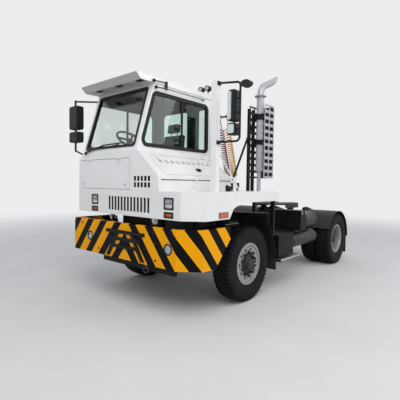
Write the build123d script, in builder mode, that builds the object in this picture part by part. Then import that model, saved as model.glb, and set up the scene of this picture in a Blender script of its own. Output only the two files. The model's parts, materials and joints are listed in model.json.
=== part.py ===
from build123d import *
from math import cos, radians, sin, sqrt
import os

# Terminal tractor, 4x2, with a one-man cab on its right-hand side.
# X points forward, Y to the vehicle's left, Z up, in millimetres. The origin is on the
# ground, at the middle of the overall length and width.

# Overall sizes
FRONT_STRAP = 14
FRONT_OVERHANG = 1291
WHEELBASE = 3300
REAR_OVERHANG = 895
LENGTH = FRONT_STRAP + FRONT_OVERHANG + WHEELBASE + REAR_OVERHANG
FRONT_X = LENGTH / 2 - FRONT_STRAP
REAR_X = -LENGTH / 2
FRONT_AXLE_X = FRONT_X - FRONT_OVERHANG
REAR_AXLE_X = FRONT_AXLE_X - WHEELBASE
MIRROR_REACH = 1620
FIT_GAP = 0.3

# Tyres and wheels
TYRE_RADIUS = 530
TYRE_WIDTH = 286
RIM_RADIUS = 292
RIM_WALL = 12
FRONT_WHEEL_Y = 1005
REAR_OUTER_Y = 1076
DUAL_SPACING = 322
AXLE_Z = TYRE_RADIUS
HAND_HOLES = 10
HAND_HOLE_RADIUS = 24
HUB_RADIUS = 88
STUDS = 10
STUD_CIRCLE = 140
STUD_RADIUS = 14
KINGPIN_Y = 872
KINGPIN_RADIUS = 22
STEER_ARM = 165
STUB_LENGTH = 78
STUB_RADIUS = 40
TRACK_ROD_EYE = 36

# Frame
RAIL_OUTER_Y = 430
RAIL_FLANGE = 80
RAIL_WEB = 10
RAIL_TOP = 980
RAIL_HEIGHT = 270
RAIL_FRONT_X = FRONT_X - 70
RAIL_REAR_X = REAR_X + 60
CROSS_TUBE_RADIUS = 60

# Bumper and the front body that stands behind it
BUMPER_TOP = 1105
BUMPER_BOTTOM = 622
BUMPER_PLATE = 10
BUMPER_RIGHT_Y = -1235
BUMPER_FOLD_Y = 943
BUMPER_SIDE_Y = 1225
BUMPER_CORNER_X = FRONT_X - 190
BUMPER_END_X = FRONT_AXLE_X + 595
BUMPER_CUT_X = FRONT_AXLE_X + 880
FOG_Y = 815
FOG_Z = 862
FOG_RADIUS = 72

# Cab, front body and deck
PANEL_X = FRONT_X - 51
BODY_BOTTOM = 1205
DECK_TOP = 1545
BODY_RIGHT_Y = -1200
BODY_FOLD_Y = 965
BODY_SIDE_Y = 1200
BODY_CORNER_X = PANEL_X - 175
BODY_END_X = FRONT_AXLE_X + 590
BODY_DECK_X = FRONT_AXLE_X + 460
WALL = 35
CAB_REAR_X = FRONT_AXLE_X - 285
CAB_RIGHT_Y = -1085
CAB_LEFT_Y = 182
BELT_Z = 2078
SHOULDER_Y = 583
SHOULDER_Z = 1738
HOOD_FOOT_Y = 600
RIGHT_SHOULDER_Z = 1976
ROOF_UNDER = 2985
ROOF_TOP = 3062
WINDSCREEN_LEAN = 0.311
VISOR_TIP_X = FRONT_AXLE_X + 1265
VISOR_LOW_X = FRONT_AXLE_X + 1190
FLOOR_TOP = 1590
PARTITION_Y = 130
DECK_BEAM_BOTTOM = 1400
DECK_REAR_X = FRONT_AXLE_X - 700
DECK_RIGHT_Y = -1200
DECK_PLATE = 25
DOOR_GAP = 6

# Glass and seals
GLASS = 6
SEAL_PROUD = 10

# Lift boom and fifth wheel
BOOM_PIVOT_X = REAR_AXLE_X + 1540
BOOM_PIVOT_Z = 1055
COUPLING_X = REAR_AXLE_X + 400
COUPLING_PIVOT_Z = 1120
COUPLING_TOP = 1250
COUPLING_RADIUS = 460
COUPLING_PLATE = 36
THROAT_RADIUS = 26
PIN_RADIUS = 30

# Hinges of doors and hatches
HINGE_BARREL = 11
HINGE_WIRE = 5
HINGE_OUT = 12
HINGE_LEAF = 6
HINGE_REACH = 50
HINGE_EYE = 15
HINGE_HALF = 45

os.makedirs("parts", exist_ok=True)


def save(part, name):
    """Label a finished piece and write it."""
    part.label = name
    export_step(part, f"parts/{name}.step")


def side_plane(y):
    """A sketch plane seen from the vehicle's right, with x forward and y up."""
    return Plane(origin=(0, y, 0), x_dir=(1, 0, 0), z_dir=(0, -1, 0))


def front_plane(x):
    """A sketch plane seen from the front, with x to the left side and y up."""
    return Plane(origin=(x, 0, 0), x_dir=(0, 1, 0), z_dir=(1, 0, 0))


def outline(points, radius=0):
    """A closed outline of straight lines in the sketch that is open, with rounded corners."""
    face = Polygon(*points, align=None)
    if radius:
        fillet(face.vertices(), radius)


def bar(start, end, radius):
    """A round bar from start to end in the part that is open."""
    run = Vector(end) - Vector(start)
    with Locations(Plane(origin=start, z_dir=run).location):
        Cylinder(radius, run.length, align=(Align.CENTER, Align.CENTER, Align.MIN))


def hinge_leaf(plane, low, high, reach):
    """A stretch of hinge barrel along the plane's z, with its leaf, in the part that is open."""
    with Locations(plane * Location((0, 0, low))):
        Cylinder(HINGE_BARREL, high - low, align=(Align.CENTER, Align.CENTER, Align.MIN))
    with Locations(plane * Location((reach / 2, HINGE_LEAF / 2 - HINGE_OUT, (low + high) / 2))):
        Box(abs(reach), HINGE_LEAF, high - low)


def hinge_eye(plane):
    """The half of a hinge on a door or hatch: x of the plane points over the door, y away from it."""
    hinge_leaf(plane, -HINGE_EYE, HINGE_EYE, HINGE_REACH)
    with Locations(plane):
        Cylinder(HINGE_WIRE + FIT_GAP, 2 * HINGE_EYE + 2, mode=Mode.SUBTRACT)


def hinge_pin(plane):
    """The other half, on the wall, with the pin through both."""
    hinge_leaf(plane, -HINGE_HALF, -HINGE_EYE - 1, -HINGE_REACH)
    hinge_leaf(plane, HINGE_EYE + 1, HINGE_HALF, -HINGE_REACH)
    with Locations(plane):
        Cylinder(HINGE_WIRE, 2 * HINGE_HALF)


# Frame rails: two channels, open towards each other
with BuildPart() as frame_rails:
    with BuildSketch(front_plane(RAIL_REAR_X)):
        for side in (-1, 1):
            outer = side * RAIL_OUTER_Y
            web = side * (RAIL_OUTER_Y - RAIL_WEB)
            lip = side * (RAIL_OUTER_Y - RAIL_FLANGE)
            low = RAIL_TOP - RAIL_HEIGHT
            outline([(outer, low), (outer, RAIL_TOP), (lip, RAIL_TOP), (lip, RAIL_TOP - RAIL_WEB),
                     (web, RAIL_TOP - RAIL_WEB), (web, low + RAIL_WEB), (lip, low + RAIL_WEB), (lip, low)])
    extrude(amount=RAIL_FRONT_X - RAIL_REAR_X)
save(frame_rails.part, "frame_rails")

# Cross members between the webs: position along the frame
CROSS_MEMBERS = (FRONT_X - 160, FRONT_AXLE_X - 620, REAR_AXLE_X + 1800, REAR_AXLE_X + 480,
                 REAR_AXLE_X - 560)

# Bumper: one bent plate with a turned top flange, cut away in front of the tyres
BUMPER_PATH = [(BUMPER_END_X, BUMPER_RIGHT_Y), (FRONT_X, BUMPER_RIGHT_Y), (FRONT_X, BUMPER_FOLD_Y),
               (BUMPER_CORNER_X, BUMPER_SIDE_Y - 25), (BUMPER_END_X, BUMPER_SIDE_Y)]
BUMPER_FLANGE = 55
with BuildPart() as bumper:
    for z, height, depth in ((BUMPER_BOTTOM, BUMPER_TOP - BUMPER_BOTTOM, BUMPER_PLATE),
                             (BUMPER_TOP - BUMPER_PLATE, BUMPER_PLATE, BUMPER_FLANGE)):
        with BuildSketch(Plane.XY.offset(z)):
            with BuildLine():
                bend = Polyline(*BUMPER_PATH)
                offset(bend, amount=depth, side=Side.LEFT)
            make_face()
        extrude(amount=height)
    with BuildSketch(side_plane(0)):
        outline([(BUMPER_END_X - 60, BUMPER_TOP - 70), (BUMPER_CUT_X, BUMPER_BOTTOM - 1),
                 (BUMPER_END_X - 60, BUMPER_BOTTOM - 1)])
    extrude(amount=2 * BUMPER_SIDE_Y, both=True, mode=Mode.SUBTRACT)
    with BuildSketch(front_plane(FRONT_X)):
        with Locations((-FOG_Y, FOG_Z), (FOG_Y, FOG_Z)):
            Circle(FOG_RADIUS)
    extrude(amount=-4 * BUMPER_PLATE, mode=Mode.SUBTRACT)
save(bumper.part, "bumper")

# Tow bracket: two sloping straps and three level ones on the bumper, and the beam under it
UNDER_BAR_Z = 575
with BuildPart() as tow_bracket:
    with BuildSketch(front_plane(FRONT_X)):
        for side in (-1, 1):
            outline([(side * 400, BUMPER_BOTTOM + 20), (side * 330, BUMPER_BOTTOM + 20),
                     (side * 90, BUMPER_TOP - 95), (side * 160, BUMPER_TOP - 95)])
        for z, half in ((BUMPER_TOP - 120, 400), (BUMPER_TOP - 215, 330), (BUMPER_TOP - 315, 300)):
            with Locations((0, z)):
                Rectangle(2 * half, 44)
    extrude(amount=FRONT_STRAP)
    with BuildSketch(front_plane(FRONT_X - 120)):
        with Locations((150, UNDER_BAR_Z)):
            Rectangle(1420, 80)
    extrude(amount=60)
    for y in (-RAIL_OUTER_Y + 40, RAIL_OUTER_Y - 40):
        with BuildSketch(Plane.XY.offset(UNDER_BAR_Z)):
            with Locations((FRONT_X - 90, y)):
                Rectangle(60, 80)
        extrude(amount=RAIL_TOP - RAIL_HEIGHT - UNDER_BAR_Z)
save(tow_bracket.part, "tow_bracket")

# Fog lamps: shallow domes in the bumper's holes
with BuildPart() as fog_lamps:
    for side in (-1, 1):
        with BuildSketch(front_plane(FRONT_X - 3 * BUMPER_PLATE)):
            with Locations((side * FOG_Y, FOG_Z)):
                Circle(FOG_RADIUS - FIT_GAP)
        extrude(amount=3 * BUMPER_PLATE + 4)
    fillet(fog_lamps.faces().group_by(Axis.X)[-1].edges(), 8)
save(fog_lamps.part, "fog_lamps")

# Radiator between the rails' noses
RADIATOR_X = FRONT_X - 330
with BuildPart() as radiator:
    with BuildSketch(front_plane(RADIATOR_X)):
        with Locations((0, RAIL_TOP + 30)):
            Rectangle(2 * (RAIL_OUTER_Y - RAIL_FLANGE), 460)
    extrude(amount=90)
save(radiator.part, "radiator")

# Engine as one block, set low between the rails
ENGINE_FRONT_X = RADIATOR_X - 120
ENGINE_LENGTH = 1150
with BuildPart() as engine_block:
    with BuildSketch(front_plane(ENGINE_FRONT_X)):
        outline([(-240, RAIL_TOP - 240), (240, RAIL_TOP - 240), (310, RAIL_TOP - 40),
                 (310, RAIL_TOP + 420), (250, RAIL_TOP + 500), (-250, RAIL_TOP + 500),
                 (-310, RAIL_TOP + 420), (-310, RAIL_TOP - 40)])
    extrude(amount=-ENGINE_LENGTH)
    for x in (ENGINE_FRONT_X - 150, ENGINE_FRONT_X - ENGINE_LENGTH + 150):
        with BuildSketch(front_plane(x)):
            with Locations((0, RAIL_TOP - 12)):
                Rectangle(2 * (RAIL_OUTER_Y - RAIL_FLANGE), 24)
        extrude(amount=40, both=True)
save(engine_block.part, "engine_block")

# Front axle: a dropped beam with an eye for each kingpin
BEAM_Z = AXLE_Z - 60
EYE_HALF = 62
with BuildPart() as front_axle:
    with BuildSketch(Plane(origin=(FRONT_AXLE_X, 0, 0), x_dir=(0, 1, 0), z_dir=(1, 0, 0))):
        with BuildLine():
            Polyline((-KINGPIN_Y + 45, AXLE_Z + 45), (-KINGPIN_Y + 45, AXLE_Z - 45), (-600, BEAM_Z - 90),
                     (600, BEAM_Z - 90), (KINGPIN_Y - 45, AXLE_Z - 45), (KINGPIN_Y - 45, AXLE_Z + 45),
                     (600, BEAM_Z + 10), (-600, BEAM_Z + 10), close=True)
        make_face()
    extrude(amount=45, both=True)
    for side in (-1, 1):
        with BuildSketch(Plane.XY.offset(AXLE_Z - EYE_HALF)):
            with Locations((FRONT_AXLE_X, side * KINGPIN_Y)):
                Circle(52)
        extrude(amount=2 * EYE_HALF)
        with BuildSketch(Plane.XY.offset(AXLE_Z - EYE_HALF)):
            with Locations((FRONT_AXLE_X, side * KINGPIN_Y)):
                Circle(KINGPIN_RADIUS + FIT_GAP)
        extrude(amount=2 * EYE_HALF, mode=Mode.SUBTRACT)
save(front_axle.part, "front_axle")

# Front leaf springs with their seats
SPRING_Y = 390
SPRING_HALF = 620
with BuildPart() as front_springs:
    for side in (-1, 1):
        with BuildSketch(side_plane(side * SPRING_Y)):
            with BuildLine():
                top = ThreePointArc((FRONT_AXLE_X - SPRING_HALF, RAIL_TOP - RAIL_HEIGHT - 60),
                                    (FRONT_AXLE_X, BEAM_Z + 70),
                                    (FRONT_AXLE_X + SPRING_HALF, RAIL_TOP - RAIL_HEIGHT - 60))
                Line(top @ 1, (FRONT_AXLE_X + SPRING_HALF, RAIL_TOP - RAIL_HEIGHT - 84))
                ThreePointArc((FRONT_AXLE_X + SPRING_HALF, RAIL_TOP - RAIL_HEIGHT - 84),
                              (FRONT_AXLE_X, BEAM_Z + 10),
                              (FRONT_AXLE_X - SPRING_HALF, RAIL_TOP - RAIL_HEIGHT - 84))
                Line((FRONT_AXLE_X - SPRING_HALF, RAIL_TOP - RAIL_HEIGHT - 84), top @ 0)
            make_face()
        extrude(amount=38, both=True)
        for end in (-1, 1):
            with BuildSketch(side_plane(side * SPRING_Y)):
                with Locations((FRONT_AXLE_X + end * (SPRING_HALF - 30), RAIL_TOP - RAIL_HEIGHT - 45)):
                    Rectangle(70, 90)
            extrude(amount=38, both=True)
save(front_springs.part, "front_springs")


# Steering knuckles: kingpin, fork, stub axle and steering arm
def knuckle(name, side):
    pin_y = side * KINGPIN_Y
    with BuildPart() as piece:
        with BuildSketch(Plane.XY.offset(AXLE_Z - EYE_HALF - 30)):
            with Locations((FRONT_AXLE_X, pin_y)):
                Circle(KINGPIN_RADIUS)
        extrude(amount=2 * EYE_HALF + 60)
        for z in (AXLE_Z - EYE_HALF - 33, AXLE_Z + EYE_HALF + 3):
            with BuildSketch(Plane.XY.offset(z)):
                with Locations((FRONT_AXLE_X, pin_y)):
                    Circle(50)
                with Locations((FRONT_AXLE_X, pin_y + side * 40)):
                    Rectangle(100, 80)
            extrude(amount=30)
        with BuildSketch(side_plane(pin_y + side * 57)):
            with Locations((FRONT_AXLE_X, AXLE_Z)):
                Rectangle(100, 2 * EYE_HALF + 66)
        extrude(amount=-side * 23)
        with BuildSketch(side_plane(pin_y + side * 80)):
            with Locations((FRONT_AXLE_X, AXLE_Z)):
                Circle(STUB_RADIUS)
        extrude(amount=-side * (STUB_LENGTH - 3))
        with BuildSketch(Plane.XY.offset(AXLE_Z - EYE_HALF - 33)):
            with Locations((FRONT_AXLE_X - STEER_ARM / 2, pin_y)):
                Rectangle(STEER_ARM, 50)
            with Locations((FRONT_AXLE_X - STEER_ARM, pin_y)):
                Circle(32)
        extrude(amount=-24)
        with BuildSketch(Plane.XY.offset(AXLE_Z - EYE_HALF - 33)):
            with Locations((FRONT_AXLE_X, pin_y)):
                Circle(50)
        extrude(amount=-24)
    save(piece.part, name)


knuckle("knuckle_left", 1)
knuckle("knuckle_right", -1)

# Track rod between the steering arms
TRACK_ROD_TOP = AXLE_Z - EYE_HALF - 33 - 24 - FIT_GAP
with BuildPart() as track_rod:
    with BuildSketch(side_plane(0)):
        with Locations((FRONT_AXLE_X - STEER_ARM, TRACK_ROD_TOP - TRACK_ROD_EYE / 2)):
            Circle(16)
    extrude(amount=KINGPIN_Y, both=True)
    for side in (-1, 1):
        with BuildSketch(Plane.XY.offset(TRACK_ROD_TOP - TRACK_ROD_EYE)):
            with Locations((FRONT_AXLE_X - STEER_ARM, side * KINGPIN_Y)):
                Circle(26)
        extrude(amount=TRACK_ROD_EYE)
save(track_rod.part, "track_rod")


# Wheels: half section turned about the axle
def tyre_section(y, side):
    """Tyre outline as (distance from the wheel's centre plane, radius)."""
    half = TYRE_WIDTH / 2
    return [(y + side * (-half + 25), RIM_RADIUS + 2), (y + side * (-half), RIM_RADIUS + 60),
            (y + side * (-half + 4), TYRE_RADIUS - 70), (y + side * (-half + 30), TYRE_RADIUS - 8),
            (y, TYRE_RADIUS), (y + side * (half - 30), TYRE_RADIUS - 8),
            (y + side * (half - 4), TYRE_RADIUS - 70), (y + side * half, RIM_RADIUS + 60),
            (y + side * (half - 25), RIM_RADIUS + 2)]


def tyres(name, axle_x, centres):
    with BuildPart() as piece:
        for y in centres:
            with BuildSketch(Plane(origin=(axle_x, 0, AXLE_Z), x_dir=(0, 1, 0), z_dir=(1, 0, 0))):
                outline(tyre_section(y, 1))
            revolve(axis=Axis((axle_x, 0, AXLE_Z), (0, 1, 0)))
    save(piece.part, name)


tyres("front_tyre_left", FRONT_AXLE_X, (FRONT_WHEEL_Y,))
tyres("front_tyre_right", FRONT_AXLE_X, (-FRONT_WHEEL_Y,))
tyres("rear_tyres_left", REAR_AXLE_X, (REAR_OUTER_Y, REAR_OUTER_Y - DUAL_SPACING))
tyres("rear_tyres_right", REAR_AXLE_X, (-REAR_OUTER_Y, -REAR_OUTER_Y + DUAL_SPACING))

FRONT_DISC_OUT = 95
REAR_DISC_IN = 105


def wheel(name, axle_x, side, rings, discs, hub_in, hub_out, bore):
    """Rim rings, discs with hand holes, and a hub with its studs; places are given for the left."""
    axle = Axis((axle_x, 0, AXLE_Z), (0, 1, 0))
    half = TYRE_WIDTH / 2 - 25
    lip = RIM_RADIUS - RIM_WALL - 16
    well = RIM_RADIUS - RIM_WALL - 30
    with BuildPart() as piece:
        for ring in rings:
            y = side * ring
            with BuildSketch(Plane(origin=(axle_x, 0, AXLE_Z), x_dir=(0, 1, 0), z_dir=(1, 0, 0))):
                outline([(y - half, RIM_RADIUS + 1), (y - half, lip), (y - half + 40, well),
                         (y + half - 40, well), (y + half, lip), (y + half, RIM_RADIUS + 1)])
            revolve(axis=axle)
        for disc in discs:
            with BuildSketch(side_plane(side * disc)):
                with Locations((axle_x, AXLE_Z)):
                    Circle(well + 8)
                    with PolarLocations(RIM_RADIUS - 90, HAND_HOLES):
                        Circle(HAND_HOLE_RADIUS, mode=Mode.SUBTRACT)
            extrude(amount=7, both=True)
        with BuildSketch(side_plane(side * hub_in)):
            with Locations((axle_x, AXLE_Z)):
                Circle(HUB_RADIUS + 70)
        extrude(amount=-side * (discs[0] - hub_in))
        with BuildSketch(side_plane(side * discs[0])):
            with Locations((axle_x, AXLE_Z)):
                Circle(HUB_RADIUS)
        extrude(amount=-side * (hub_out - discs[0]))
        with BuildSketch(side_plane(side * discs[0])):
            with Locations((axle_x, AXLE_Z)):
                with PolarLocations(STUD_CIRCLE, STUDS):
                    Circle(STUD_RADIUS)
        extrude(amount=-side * 34)
        with BuildSketch(side_plane(side * hub_in)):
            with Locations((axle_x, AXLE_Z)):
                Circle(bore)
        extrude(amount=-side * STUB_LENGTH, mode=Mode.SUBTRACT)
    save(piece.part, name)


FRONT_HUB_IN = KINGPIN_Y + 85
REAR_INNER_Y = REAR_OUTER_Y - DUAL_SPACING
REAR_HUB_IN = REAR_INNER_Y - 90
SPINDLE_RADIUS = 60
for name, side in (("left", 1), ("right", -1)):
    wheel(f"front_wheel_{name}", FRONT_AXLE_X, side, (FRONT_WHEEL_Y,), (FRONT_WHEEL_Y + FRONT_DISC_OUT,),
          FRONT_HUB_IN, FRONT_WHEEL_Y + 145, STUB_RADIUS + FIT_GAP)
    wheel(f"rear_wheel_{name}", REAR_AXLE_X, side, (REAR_OUTER_Y, REAR_INNER_Y),
          (REAR_OUTER_Y - REAR_DISC_IN, REAR_INNER_Y + REAR_DISC_IN), REAR_HUB_IN, REAR_OUTER_Y + 60,
          SPINDLE_RADIUS + FIT_GAP)

# Rear axle: banjo casing with tapered arms, and the spindles that carry the hubs
with BuildPart() as rear_axle:
    with BuildSketch(Plane(origin=(REAR_AXLE_X, 0, AXLE_Z), x_dir=(0, 1, 0), z_dir=(1, 0, 0))):
        outline([(-REAR_HUB_IN + 5, 0), (-REAR_HUB_IN + 5, 75), (-300, 90), (-150, 215),
                 (150, 215), (300, 90), (REAR_HUB_IN - 5, 75), (REAR_HUB_IN - 5, 0)])
    revolve(axis=Axis((REAR_AXLE_X, 0, AXLE_Z), (0, 1, 0)))
    with BuildSketch(side_plane(0)):
        with Locations((REAR_AXLE_X, AXLE_Z)):
            Circle(SPINDLE_RADIUS)
    extrude(amount=REAR_HUB_IN + STUB_LENGTH - 8, both=True)
    with BuildSketch(front_plane(REAR_AXLE_X)):
        with Locations((0, AXLE_Z)):
            Circle(95)
    extrude(amount=300)
    for side in (-1, 1):
        with BuildSketch(Plane.XY.offset(AXLE_Z)):
            with Locations((REAR_AXLE_X, side * (RAIL_OUTER_Y - 45))):
                Rectangle(180, 76)
        extrude(amount=RAIL_TOP - RAIL_HEIGHT - AXLE_Z)
save(rear_axle.part, "rear_axle")

# Drive shaft from the gearbox to the rear axle
SHAFT_FRONT_X = ENGINE_FRONT_X - ENGINE_LENGTH
SHAFT_FRONT_Z = 750
with BuildPart() as drive_shaft:
    for x, z in ((REAR_AXLE_X + 300, AXLE_Z), (SHAFT_FRONT_X - 40, SHAFT_FRONT_Z)):
        bar((x, 0, z), (x + 40, 0, z), 60)
    bar((REAR_AXLE_X + 320, 0, AXLE_Z), (SHAFT_FRONT_X - 20, 0, SHAFT_FRONT_Z), 45)
save(drive_shaft.part, "drive_shaft")

# Front fenders: flat top, sloping back
FENDER = 5
REAR_FENDER_INNER_Y, REAR_FENDER_SIDE_Y = 600, 1230
REAR_FENDER_RADIUS = TYRE_RADIUS + 45
FENDER_SIDE_Y = 1200
FENDER_INNER_Y = 640
FENDER_BACK_X = FRONT_AXLE_X - 640
FENDER_LINE = [(FRONT_AXLE_X + 470, 1290), (FRONT_AXLE_X - 348, 1228), (FENDER_BACK_X, 640),
               (FENDER_BACK_X, 520)]
with BuildPart() as fenders:
    for side in (-1, 1):
        with BuildSketch(side_plane(side * FENDER_INNER_Y)):
            with BuildLine():
                run = Polyline(*FENDER_LINE)
                offset(run, amount=FENDER, side=Side.LEFT)
            make_face()
        extrude(amount=-side * (FENDER_SIDE_Y - FENDER_INNER_Y))
    for side in (-1, 1):
        with BuildSketch(side_plane(side * REAR_FENDER_INNER_Y)):
            with BuildLine():
                inner = CenterArc((REAR_AXLE_X, AXLE_Z), REAR_FENDER_RADIUS, 25, 155)
                outer = CenterArc((REAR_AXLE_X, AXLE_Z), REAR_FENDER_RADIUS + FENDER, 25, 155)
                Line(inner @ 0, outer @ 0)
                Line(inner @ 1, outer @ 1)
            make_face()
        extrude(amount=-side * (REAR_FENDER_SIDE_Y - REAR_FENDER_INNER_Y))
save(fenders.part, "fenders")

# Rubber flaps behind all wheels
FLAP = 8
with BuildPart() as mud_flaps:
    for side in (-1, 1):
        for x, top, low in ((FENDER_BACK_X - FLAP / 2, 540, 340),
                            (REAR_AXLE_X - REAR_FENDER_RADIUS - FENDER - FLAP / 2, 560, 165)):
            with BuildSketch(Plane.XY.offset(low)):
                with Locations((x, side * 920)):
                    Rectangle(FLAP, 560)
            extrude(amount=top - low)
save(mud_flaps.part, "mud_flaps")

# Cab hinges at the front: brackets on the rails and lugs inside the front body
HINGE_X, HINGE_Z = PANEL_X - 85, 1150
HINGE_PIN = 16
BRACKET_Y = (RAIL_OUTER_Y - 38, RAIL_OUTER_Y - 8)
LUG_Y = (RAIL_OUTER_Y + 2, RAIL_OUTER_Y + 32)

# Front body: the low shell under and beside the cab, with grille slots and lamp openings
BODY_PLAN = [(PANEL_X, BODY_RIGHT_Y), (PANEL_X, BODY_FOLD_Y), (BODY_CORNER_X, BODY_SIDE_Y),
             (BODY_DECK_X, BODY_SIDE_Y), (BODY_DECK_X, BODY_RIGHT_Y)]
LAMP_Y = 770
HEADLAMP_Z = BODY_BOTTOM + 193
INDICATOR_Z = BODY_BOTTOM + 57
HEADLAMP_W, HEADLAMP_H = 170, 148
INDICATOR_W, INDICATOR_H = 165, 76
SLOT_PITCH = 68
with BuildPart() as front_body:
    with BuildSketch(Plane.XY.offset(BODY_BOTTOM)):
        outline(BODY_PLAN)
    extrude(amount=DECK_TOP - BODY_BOTTOM)
    with BuildSketch(Plane.XY.offset(BODY_BOTTOM)):
        outline([(PANEL_X - WALL, BODY_RIGHT_Y + WALL), (PANEL_X - WALL, BODY_FOLD_Y - WALL / 2),
                 (BODY_CORNER_X - WALL / 2, BODY_SIDE_Y - WALL), (BODY_DECK_X - 1, BODY_SIDE_Y - WALL),
                 (BODY_DECK_X - 1, BODY_RIGHT_Y + WALL)])
    extrude(amount=DECK_TOP - BODY_BOTTOM - WALL, mode=Mode.SUBTRACT)
    with BuildSketch(side_plane(0)):
        outline([(BODY_END_X, BODY_BOTTOM - 1), (BODY_DECK_X - 1, DECK_BEAM_BOTTOM),
                 (BODY_DECK_X - 1, BODY_BOTTOM - 1)])
    extrude(amount=2 * BODY_SIDE_Y, both=True, mode=Mode.SUBTRACT)
    with BuildSketch(Plane.XY.offset(DECK_TOP - WALL)):
        outline([(PANEL_X - WALL, BODY_RIGHT_Y + WALL), (PANEL_X - WALL, HOOD_FOOT_Y - WALL),
                 (BODY_DECK_X - 1, HOOD_FOOT_Y - WALL), (BODY_DECK_X - 1, BODY_RIGHT_Y + WALL)])
    extrude(amount=WALL, mode=Mode.SUBTRACT)
    with BuildSketch(front_plane(PANEL_X)):
        for side in (-1, 1):
            with Locations((side * LAMP_Y, HEADLAMP_Z)):
                Rectangle(HEADLAMP_W, HEADLAMP_H)
            with Locations((side * LAMP_Y, INDICATOR_Z)):
                Rectangle(INDICATOR_W, INDICATOR_H)
        with Locations((0, BODY_BOTTOM + 157)):
            with GridLocations(SLOT_PITCH, 0, 13, 1):
                Rectangle(42, 190)
    extrude(amount=-WALL, mode=Mode.SUBTRACT)
    for side in (-1, 1):
        with BuildSketch(side_plane(side * LUG_Y[0])):
            outline([(HINGE_X - 28, HINGE_Z - 26), (HINGE_X - 28, HINGE_Z + 60),
                     (PANEL_X - WALL, HINGE_Z + 160), (PANEL_X - WALL, BODY_BOTTOM),
                     (HINGE_X + 28, HINGE_Z - 26)])
        extrude(amount=-side * (LUG_Y[1] - LUG_Y[0]))
        with BuildSketch(side_plane(side * LUG_Y[0])):
            with Locations((HINGE_X, HINGE_Z)):
                Circle(HINGE_PIN)
        extrude(amount=side * (LUG_Y[0] - BRACKET_Y[0]))
save(front_body.part, "front_body")

# Windows as (y, z) or (x, z) corners of the clear opening in the wall
WIN_RADIUS = 60
SIDE_LOW, SIDE_HIGH = BELT_Z + 47, ROOF_UNDER - 100
SIDE_WINDOW = [(CAB_REAR_X + 85, SIDE_LOW), (FRONT_AXLE_X + 1200, SIDE_LOW),
               (FRONT_AXLE_X + 965, SIDE_HIGH), (CAB_REAR_X + 85, SIDE_HIGH)]
SCREEN_Y = (CAB_RIGHT_Y + 55, CAB_LEFT_Y - 60)
SCREEN_FOOT, SCREEN_HEAD = 45, 905
REAR_LOW, REAR_HIGH = BELT_Z + 72, ROOF_UNDER - 105
REAR_PANE = [(-120, REAR_LOW), (CAB_LEFT_Y - 70, REAR_LOW), (CAB_LEFT_Y - 70, REAR_HIGH), (-120, REAR_HIGH)]
DOOR_Y = (CAB_RIGHT_Y + 95, -230)
DOOR_Z = (FLOOR_TOP + 25, ROOF_UNDER - 55)
DOORWAY = [(DOOR_Y[0], DOOR_Z[0]), (DOOR_Y[1], DOOR_Z[0]), (DOOR_Y[1], DOOR_Z[1]),
           (DOOR_Y[0], DOOR_Z[1])]
DOOR_PANE = [(DOOR_Y[0] + 90, REAR_LOW), (DOOR_Y[1] - 90, REAR_LOW), (DOOR_Y[1] - 90, REAR_HIGH - 30),
             (DOOR_Y[0] + 90, REAR_HIGH - 30)]
HATCH_X = (CAB_REAR_X + 60, FRONT_AXLE_X + 1110)
SCREEN_PLANE = Plane(origin=(PANEL_X, 0, BELT_Z), x_dir=(0, 1, 0), z_dir=(1, 0, WINDSCREEN_LEAN))
SCREEN_PANE = [(SCREEN_Y[0], SCREEN_FOOT), (SCREEN_Y[1], SCREEN_FOOT), (SCREEN_Y[1] - 15, SCREEN_HEAD),
               (SCREEN_Y[0] + 15, SCREEN_HEAD)]
DIVIDER_X, DIVIDER = FRONT_AXLE_X + 405, 28
# Windows as sketch plane, corners, outward side of the plane, corner radius and width of the seal
WINDOWS = (
    (SCREEN_PLANE, SCREEN_PANE, 1, 45, 34),
    (side_plane(CAB_LEFT_Y), SIDE_WINDOW, -1, 95, 50),
    (side_plane(CAB_RIGHT_Y), SIDE_WINDOW, 1, 95, 50),
    (front_plane(CAB_REAR_X), REAR_PANE, -1, WIN_RADIUS, 34),
)
SCREEN_TOP_X = PANEL_X - WINDSCREEN_LEAN * (ROOF_UNDER - BELT_Z)

# Cab shell: lower cab with its slanted left side, and the glazed upper cab
LOWER_SECTION = [(BODY_RIGHT_Y, DECK_TOP), (BODY_RIGHT_Y + 7, RIGHT_SHOULDER_Z), (CAB_RIGHT_Y, BELT_Z),
                 (CAB_LEFT_Y, BELT_Z), (SHOULDER_Y, SHOULDER_Z), (HOOD_FOOT_Y, DECK_TOP)]
DRIVER_SPACE = [(BODY_RIGHT_Y + WALL, FLOOR_TOP), (BODY_RIGHT_Y + WALL + 7, RIGHT_SHOULDER_Z - 15),
                (CAB_RIGHT_Y + WALL, BELT_Z), (PARTITION_Y, BELT_Z), (PARTITION_Y, FLOOR_TOP)]
ENGINE_SPACE = [(PARTITION_Y + WALL, DECK_TOP), (PARTITION_Y + WALL, BELT_Z - WALL),
                (CAB_LEFT_Y - 12, BELT_Z - WALL), (SHOULDER_Y - WALL, SHOULDER_Z - 15),
                (HOOD_FOOT_Y - WALL, DECK_TOP)]
slope_length = sqrt((SHOULDER_Y - CAB_LEFT_Y) ** 2 + (BELT_Z - SHOULDER_Z) ** 2)
SLOPE_PLANE = Plane(origin=(0, SHOULDER_Y, SHOULDER_Z), x_dir=(1, 0, 0),
                    z_dir=(0, BELT_Z - SHOULDER_Z, SHOULDER_Y - CAB_LEFT_Y))
HATCH_FOOT, HATCH_HEAD = 25, slope_length - 95
SIDE_HATCH = [(HATCH_X[0], -HATCH_HEAD), (HATCH_X[1] - 10, -HATCH_HEAD), (HATCH_X[1] - 10, -HATCH_FOOT),
              (HATCH_X[0], -HATCH_FOOT)]
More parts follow.
